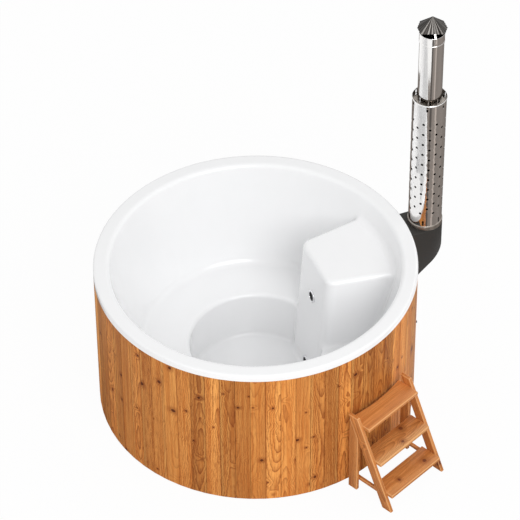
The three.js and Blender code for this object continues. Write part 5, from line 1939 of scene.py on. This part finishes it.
@dataclass
class Drain:
    """Floor strainer, drain pipe, valve and lever."""

    x: float = StoveBlock.drain_x
    level: float = 0.018
    floor: float = 0.0503
    sides: int = 48
    flange_radius: float = 0.036
    flange_thickness: float = 0.004
    neck_radius: float = 0.022
    bore_radius: float = 0.018
    bottom: float = 0.004
    pipe_radius: float = 0.014
    pipe_bore: float = 0.011
    pipe_end: float = 1.006
    valve_radius: float = 0.016
    valve_length: float = 0.056
    body_share: float = 0.86
    nut_length: float = 0.012
    gap: float = 0.0003

    def build_strainer(self) -> None:
        """Build the cup with its flange and crossed bars."""
        top = self.floor + self.flange_thickness
        corners = [
            (0.0, self.bottom, 0.0), (self.neck_radius, self.bottom, 0.002),
            (self.neck_radius, self.floor, 0.0), (self.flange_radius, self.floor, 0.0),
            (self.flange_radius, top, 0.0024), (self.bore_radius + 0.001, top, 0.001),
            (self.bore_radius, self.bottom + 0.004, 0.003), (0.0, self.bottom + 0.004, 0.0),
        ]
        spot = Matrix.Translation((self.x, 0.0, 0.0))
        skin = Skin().turned(rounded(corners, 4), self.sides, spot)
        half, reach = 0.003, self.bore_radius + 0.001
        ring = [
            (-half, top - 0.004), (half, top - 0.004), (half, top - 0.0012), (half * 0.5, top - 0.0004),
            (-half * 0.5, top - 0.0004), (-half, top - 0.0012),
        ]
        for turn in (0.0, math.pi / 2):
            spin = spot @ Matrix.Rotation(turn, 4, "Z")
            skin.loft([[spin @ Vector((x, y, z)) for y, z in ring] for x in (-reach, reach)])
        dress(skin.made("floor_strainer"), Body.TUB, Slot.STAINLESS, "floor_drain")

    def along(self) -> Matrix:
        """Give the move of a turned form's axis to the pipe's, which runs outwards along y."""
        return Matrix.Translation((self.x, 0.0, self.level)) @ Matrix.Rotation(-math.pi / 2, 4, "X")

    def build_pipe(self) -> None:
        """Build the pipe under the floor."""
        bore, radius = self.pipe_bore, self.pipe_radius
        start, end = self.neck_radius + self.gap, self.pipe_end
        outline = [(bore, start), (radius, start), (radius, end), (bore, end)]
        piece = Skin().turned(outline, self.sides, self.along()).made("drain_hose_pipe")
        dress(piece, Body.TUB, Slot.PLASTIC, "drain_pipe")

    def hexagon(self, radius: float, height: float) -> list[Vector]:
        """Give six points round the pipe at a distance along it."""
        turns = [math.pi / 3 * k for k in range(6)]
        return [self.along() @ Vector((radius * math.cos(a), radius * math.sin(a), height)) for a in turns]

    def build_valve(self) -> None:
        """Build the valve's body with its two nuts and the stem's boss."""
        start = self.pipe_end + self.gap
        end = start + self.valve_length
        body, nut, length = self.valve_radius * self.body_share, self.valve_radius, self.nut_length
        outline = [
            (self.pipe_bore, start), (body, start), (body, start + 0.014),
            (body + 0.0012, start + 0.016), (body + 0.0012, end - 0.016), (body, end - 0.014),
            (body, end - 0.001), (body - 0.001, end), (self.pipe_bore, end),
        ]
        skin = Skin().turned(outline, self.sides, self.along())
        ease = 0.0012
        for low in (start + 0.0006, end - 0.0126):
            high = low + length
            levels = [(low, ease), (low + ease, 0.0), (high - ease, 0.0), (high, ease)]
            loops = [self.hexagon(nut - inset, height) for height, inset in levels]
            bores = [self.hexagon(self.pipe_bore, height) for height in (high, low)]
            skin.loft([*loops, *bores, loops[0]], capped=False)
        middle = (start + end) / 2
        boss = [(0.0055, self.level), (0.013, self.level), (0.013, 0.034), (0.011, 0.0372), (0.0055, 0.0372)]
        skin.turned(boss, self.sides, Matrix.Translation((self.x, middle, 0.0)))
        dress(skin.made("valve_body"), Body.TUB, Slot.BRASS, "drain_valve")

    def build(self) -> None:
        """Build the drain."""
        self.build_strainer()
        self.build_pipe()
        self.build_valve()
        piece = softened("drain_lever", "valve_lever", 0.0014, 3)
        dress(piece, Body.LEVER, Slot.PLASTIC, "drain_lever")


@dataclass
class Stove:
    """Water jacket, firebox, front plate, door with its latch, ash drawer and air slide."""

    ease: float = 0.0012

    def build(self) -> None:
        """Build the stove."""
        fixed = {
            "water_jacket": Slot.STAINLESS,
            "firebox": Slot.STOVE,
            "fire_grate": Slot.STOVE,
            "stove_front_plate": Slot.COAT,
            "door_gasket": Slot.ROPE,
            "hinge_pin": Slot.STAINLESS,
        }
        moving = {
            "stove_door": (Body.DOOR, Slot.COAT),
            "door_latch": (Body.LATCH, Slot.STAINLESS),
            "ash_drawer": (Body.DRAWER, Slot.COAT),
            "air_slide": (Body.SLIDE, Slot.STAINLESS),
        }
        every = {node: (Body.TUB, slot) for node, slot in fixed.items()} | moving
        for node, (body, slot) in every.items():
            piece = softened(node, node + "_metal", self.ease, 2)
            dress(piece, body, slot, node, finish=HEAT_TINT_AND_SHADE_BLACK if node == "door_latch" else None)


@dataclass
class Steps:
    """Three treads between two raking sides, with legs and rails behind."""

    turn: float = -65.8
    side_slope: float = 0.47
    ease: float = 0.0042
    seed: int = 12
    seed_spread: float = 3.0
    tone_least: float = 0.48
    tone_spread: float = 0.3

    def axes(self) -> tuple[Vector, Vector]:
        """Work out how the steps are turned.

        Returns:
            The directions away from the tub and along a tread.
        """
        angle = math.radians(self.turn)
        out = Vector((math.cos(angle), math.sin(angle), 0.0))
        return out, Vector((-out.y, out.x, 0.0))

    def darken_back(self, piece: Piece, out: Vector) -> None:
        """Mark the edge that lies against the tub for painted shadow instead of the pale edge.

        Args:
            piece: The top tread.
            out: The direction away from the tub.
        """
        worn = piece.data.attributes["worn_edge"].data
        for face in piece.data.polygons:
            if face.normal.dot(out) < -0.25:
                worn[face.index].value = -1.0

    def build(self) -> None:
        """Build the steps."""
        out, side = self.axes()
        up = Vector((0.0, 0.0, 1.0))
        rake = (up - out * self.side_slope).normalized()
        chance = random.Random(self.seed)
        treads = {"top": 0.0, "middle": 1.0, "bottom": 0.0}
        sawn = {f"{place}_tread": (out, side, sap) for place, sap in treads.items()}
        sawn |= {f"{hand}_stringer": (rake.cross(side), rake, 0.0) for hand in ("left", "right")}
        sawn |= {f"{hand}_rear_leg": (out, up, 0.0) for hand in ("left", "right")}
        sawn |= {f"{hand}_stretcher": (up, out, 0.0) for hand in ("left", "right")}
        for node, (across, along, sap) in sawn.items():
            piece = softened(node, node + "_board", self.ease, 3, 26.0)
            if node == "top_tread":
                self.darken_back(piece, out)
            seed = chance.random() * self.seed_spread
            tone = self.tone_least + self.tone_spread * chance.random()
            Board(across, along, seed, tone, sap).mark(piece)
            dress(piece, Body.STEPS, Slot.STEP, node)


@dataclass
class Studio:
    """Pale floor, soft lights and the camera."""

    world_level: float = 0.72
    key_power: float = 1060.0
    key_size: float = 9.0
    key_place: Place = (0.5, -12.6, 10.4)
    key_target: Place = (0.0, 0.0, 0.6)
    # A dark sheet round the chimney that only mirror rays see: it paints the reflection streaks on the pipe
    # and guard.
    reflection_centre: tuple[float, float] = (1.145, 0.0)
    reflection_start: float = 1.0
    reflection_reach: float = 15.0
    reflection_level: float = 0.002
    reflection_steps: int = 180
    reflection_dark: Colour = (0.05, 0.043, 0.038)
    reflection_light: Colour = (0.48, 0.42, 0.38)
    reflection_short_reach: float = 2.75
    reflection_short_turns: tuple[float, float] = (88.0, 96.0)
    # Painted reflection bands: the sheet's shade by angle round the chimney, mirrored on the metal as dark
    # and light streaks.
    reflection_bands: tuple[tuple[float, float], ...] = (
        (-112.0, 0.05), (-102.0, 0.05), (-96.0, 0.4), (-80.0, 0.45), (-76.0, 1.0), (-70.0, 1.0),
        (-65.0, 0.35), (-20.0, 0.45), (40.0, 0.3), (100.0, 0.4), (248.0, 0.4),
    )
    floor_half: float = 30.0
    floor_grey: float = 0.86
    floor_glow: float = 0.96
    camera: Place = (-5.3626, -13.2065, 14.2680)
    target: Place = (0.0251, -0.0102, 1.0836)
    roll: float = -0.0073
    lens: float = 218.65

    def seen_white(self, graph: Graph) -> Socket:
        """Pick out the rays that see the background.

        Args:
            graph: The graph of the floor or the world.

        Returns:
            A share that is 1 for camera, mirror and glass rays.
        """
        path = graph.node("LightPath").outputs
        seen = graph.math("MAXIMUM", path["Is Camera Ray"], path["Is Glossy Ray"])
        return graph.math("MAXIMUM", seen, path["Is Transmission Ray"])

    def build_world(self) -> None:
        """Light the scene evenly, with a white background."""
        world = bpy.data.worlds.new("studio")
        bpy.context.scene.world = world
        world.use_nodes = True
        graph = Graph(world.node_tree)
        shader = next(n for n in world.node_tree.nodes if n.type == "BACKGROUND")
        shader.inputs["Color"].default_value = (1.0, 1.0, 1.0, 1.0)
        level = graph.between(self.seen_white(graph), 0.0, 1.0, self.world_level, 1.0)
        graph.link(level, shader.inputs["Strength"])

    def build_floor(self) -> None:
        """Lay the floor, which shows white with the object's shadow on it."""
        material, graph, shader = new_material("studio_floor")
        shader.inputs["Base Color"].default_value = (*[self.floor_grey] * 3, 1.0)
        shader.inputs["Roughness"].default_value = 0.9
        glow = graph.node("Emission", {"Color": (1.0, 1.0, 1.0), "Strength": 1.0})
        share = graph.times(self.seen_white(graph), self.floor_glow)
        blend = graph.node("MixShader", {0: share, 1: shader.outputs[0], 2: glow.outputs[0]})
        out = next(n for n in graph.tree.nodes if n.type == "OUTPUT_MATERIAL")
        graph.link(blend.outputs[0], out.inputs["Surface"])
        half = self.floor_half
        corners = [(-half, -half, 0), (half, -half, 0), (half, half, 0), (-half, half, 0)]
        floor = Skin(corners, [(0, 1, 2, 3)]).made("studio_floor")
        floor.data.materials.append(material)
        floor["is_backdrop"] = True

    def build_reflection_sheet(self) -> None:
        """Lay a sheet that only mirror rays see; its shade by angle round the chimney paints reflection
        streaks on the bright metal.
        """
        material, graph, shader = new_material("painted_reflection_sheet")
        colour = graph.mix(graph.attribute("fold_shade"), self.reflection_dark, self.reflection_light)
        graph.link(colour, shader.inputs["Base Color"])
        shader.inputs["Roughness"].default_value = 0.95
        x, y = self.reflection_centre
        turns = np.linspace(self.reflection_bands[0][0], self.reflection_bands[-1][0], self.reflection_steps + 1)
        shades = np.interp(turns, *zip(*self.reflection_bands))
        near = np.full(len(turns), self.reflection_start)
        far = np.interp(turns, self.reflection_short_turns, (self.reflection_reach, self.reflection_short_reach))
        points = []
        for reach, turn in zip(np.concatenate([near, far]), np.radians([*turns, *turns])):
            points.append((x + reach * math.cos(turn), y + reach * math.sin(turn), self.reflection_level))
        count = len(turns)
        faces = [(k, k + count, k + count + 1, k + 1) for k in range(count - 1)]
        cloth = Skin(points, faces).made("painted_reflection_sheet", weld=False)
        write_values(cloth.data, "fold_shade", "FLOAT", np.concatenate([shades, shades]))
        cloth.data.materials.append(material)
        for rays in ("camera", "diffuse", "transmission", "volume_scatter", "shadow"):
            setattr(cloth, "visible_" + rays, False)
        cloth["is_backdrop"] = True

    def build_lights(self) -> None:
        """Hang the soft key light on the camera's side."""
        light = bpy.data.lights.new("key", "AREA")
        light.energy = self.key_power
        light.size = self.key_size
        lamp = bpy.data.objects.new("key", light)
        bpy.context.scene.collection.objects.link(lamp)
        lamp.location = self.key_place
        back = Vector(self.key_place) - Vector(self.key_target)
        lamp.rotation_euler = back.to_track_quat("Z", "Y").to_euler()

    def build_camera(self) -> None:
        """Stand the camera where the photograph was taken from."""
        data = bpy.data.cameras.new("camera")
        data.lens = self.lens
        data.sensor_width = 36.0
        data.clip_end = 200.0
        camera = bpy.data.objects.new("camera", data)
        bpy.context.scene.collection.objects.link(camera)
        back = (Vector(self.camera) - Vector(self.target)).normalized()
        level = Vector((0, 0, 1)).cross(back).normalized()
        upright = back.cross(level)
        cos, sin = math.cos(self.roll), math.sin(self.roll)
        right, up = level * cos + upright * sin, upright * cos - level * sin
        rows = [(right[i], up[i], back[i], self.camera[i]) for i in range(3)]
        camera.matrix_world = Matrix([*rows, (0, 0, 0, 1)])
        bpy.context.scene.camera = camera

    def build(self) -> None:
        """Build the studio."""
        self.build_world()
        self.build_floor()
        self.build_reflection_sheet()
        self.build_lights()
        self.build_camera()
        bpy.context.scene.view_settings.view_transform = "Standard"


def write_sizes() -> None:
    """Work out the CAD box and the dressed model's box as plain lists."""
    boxes = {"cad": CAD_BOX, "visual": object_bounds()}
    plain = {name: [[float(v) for v in corner] for corner in box] for name, box in boxes.items()}


def main() -> None:
    """Build every sub-assembly in order."""
    logging.basicConfig(level=logging.INFO, format="%(name)s %(message)s")
    Liner().build()
    TimberWall().build()
    WallFrame().build()
    Chimney().build()
    FlueCasing().build()
    WaterPorts().build()
    Drain().build()
    Stove().build()
    Steps().build()
    Studio().build()
    write_sizes()


if __name__ == "__main__":
    main()
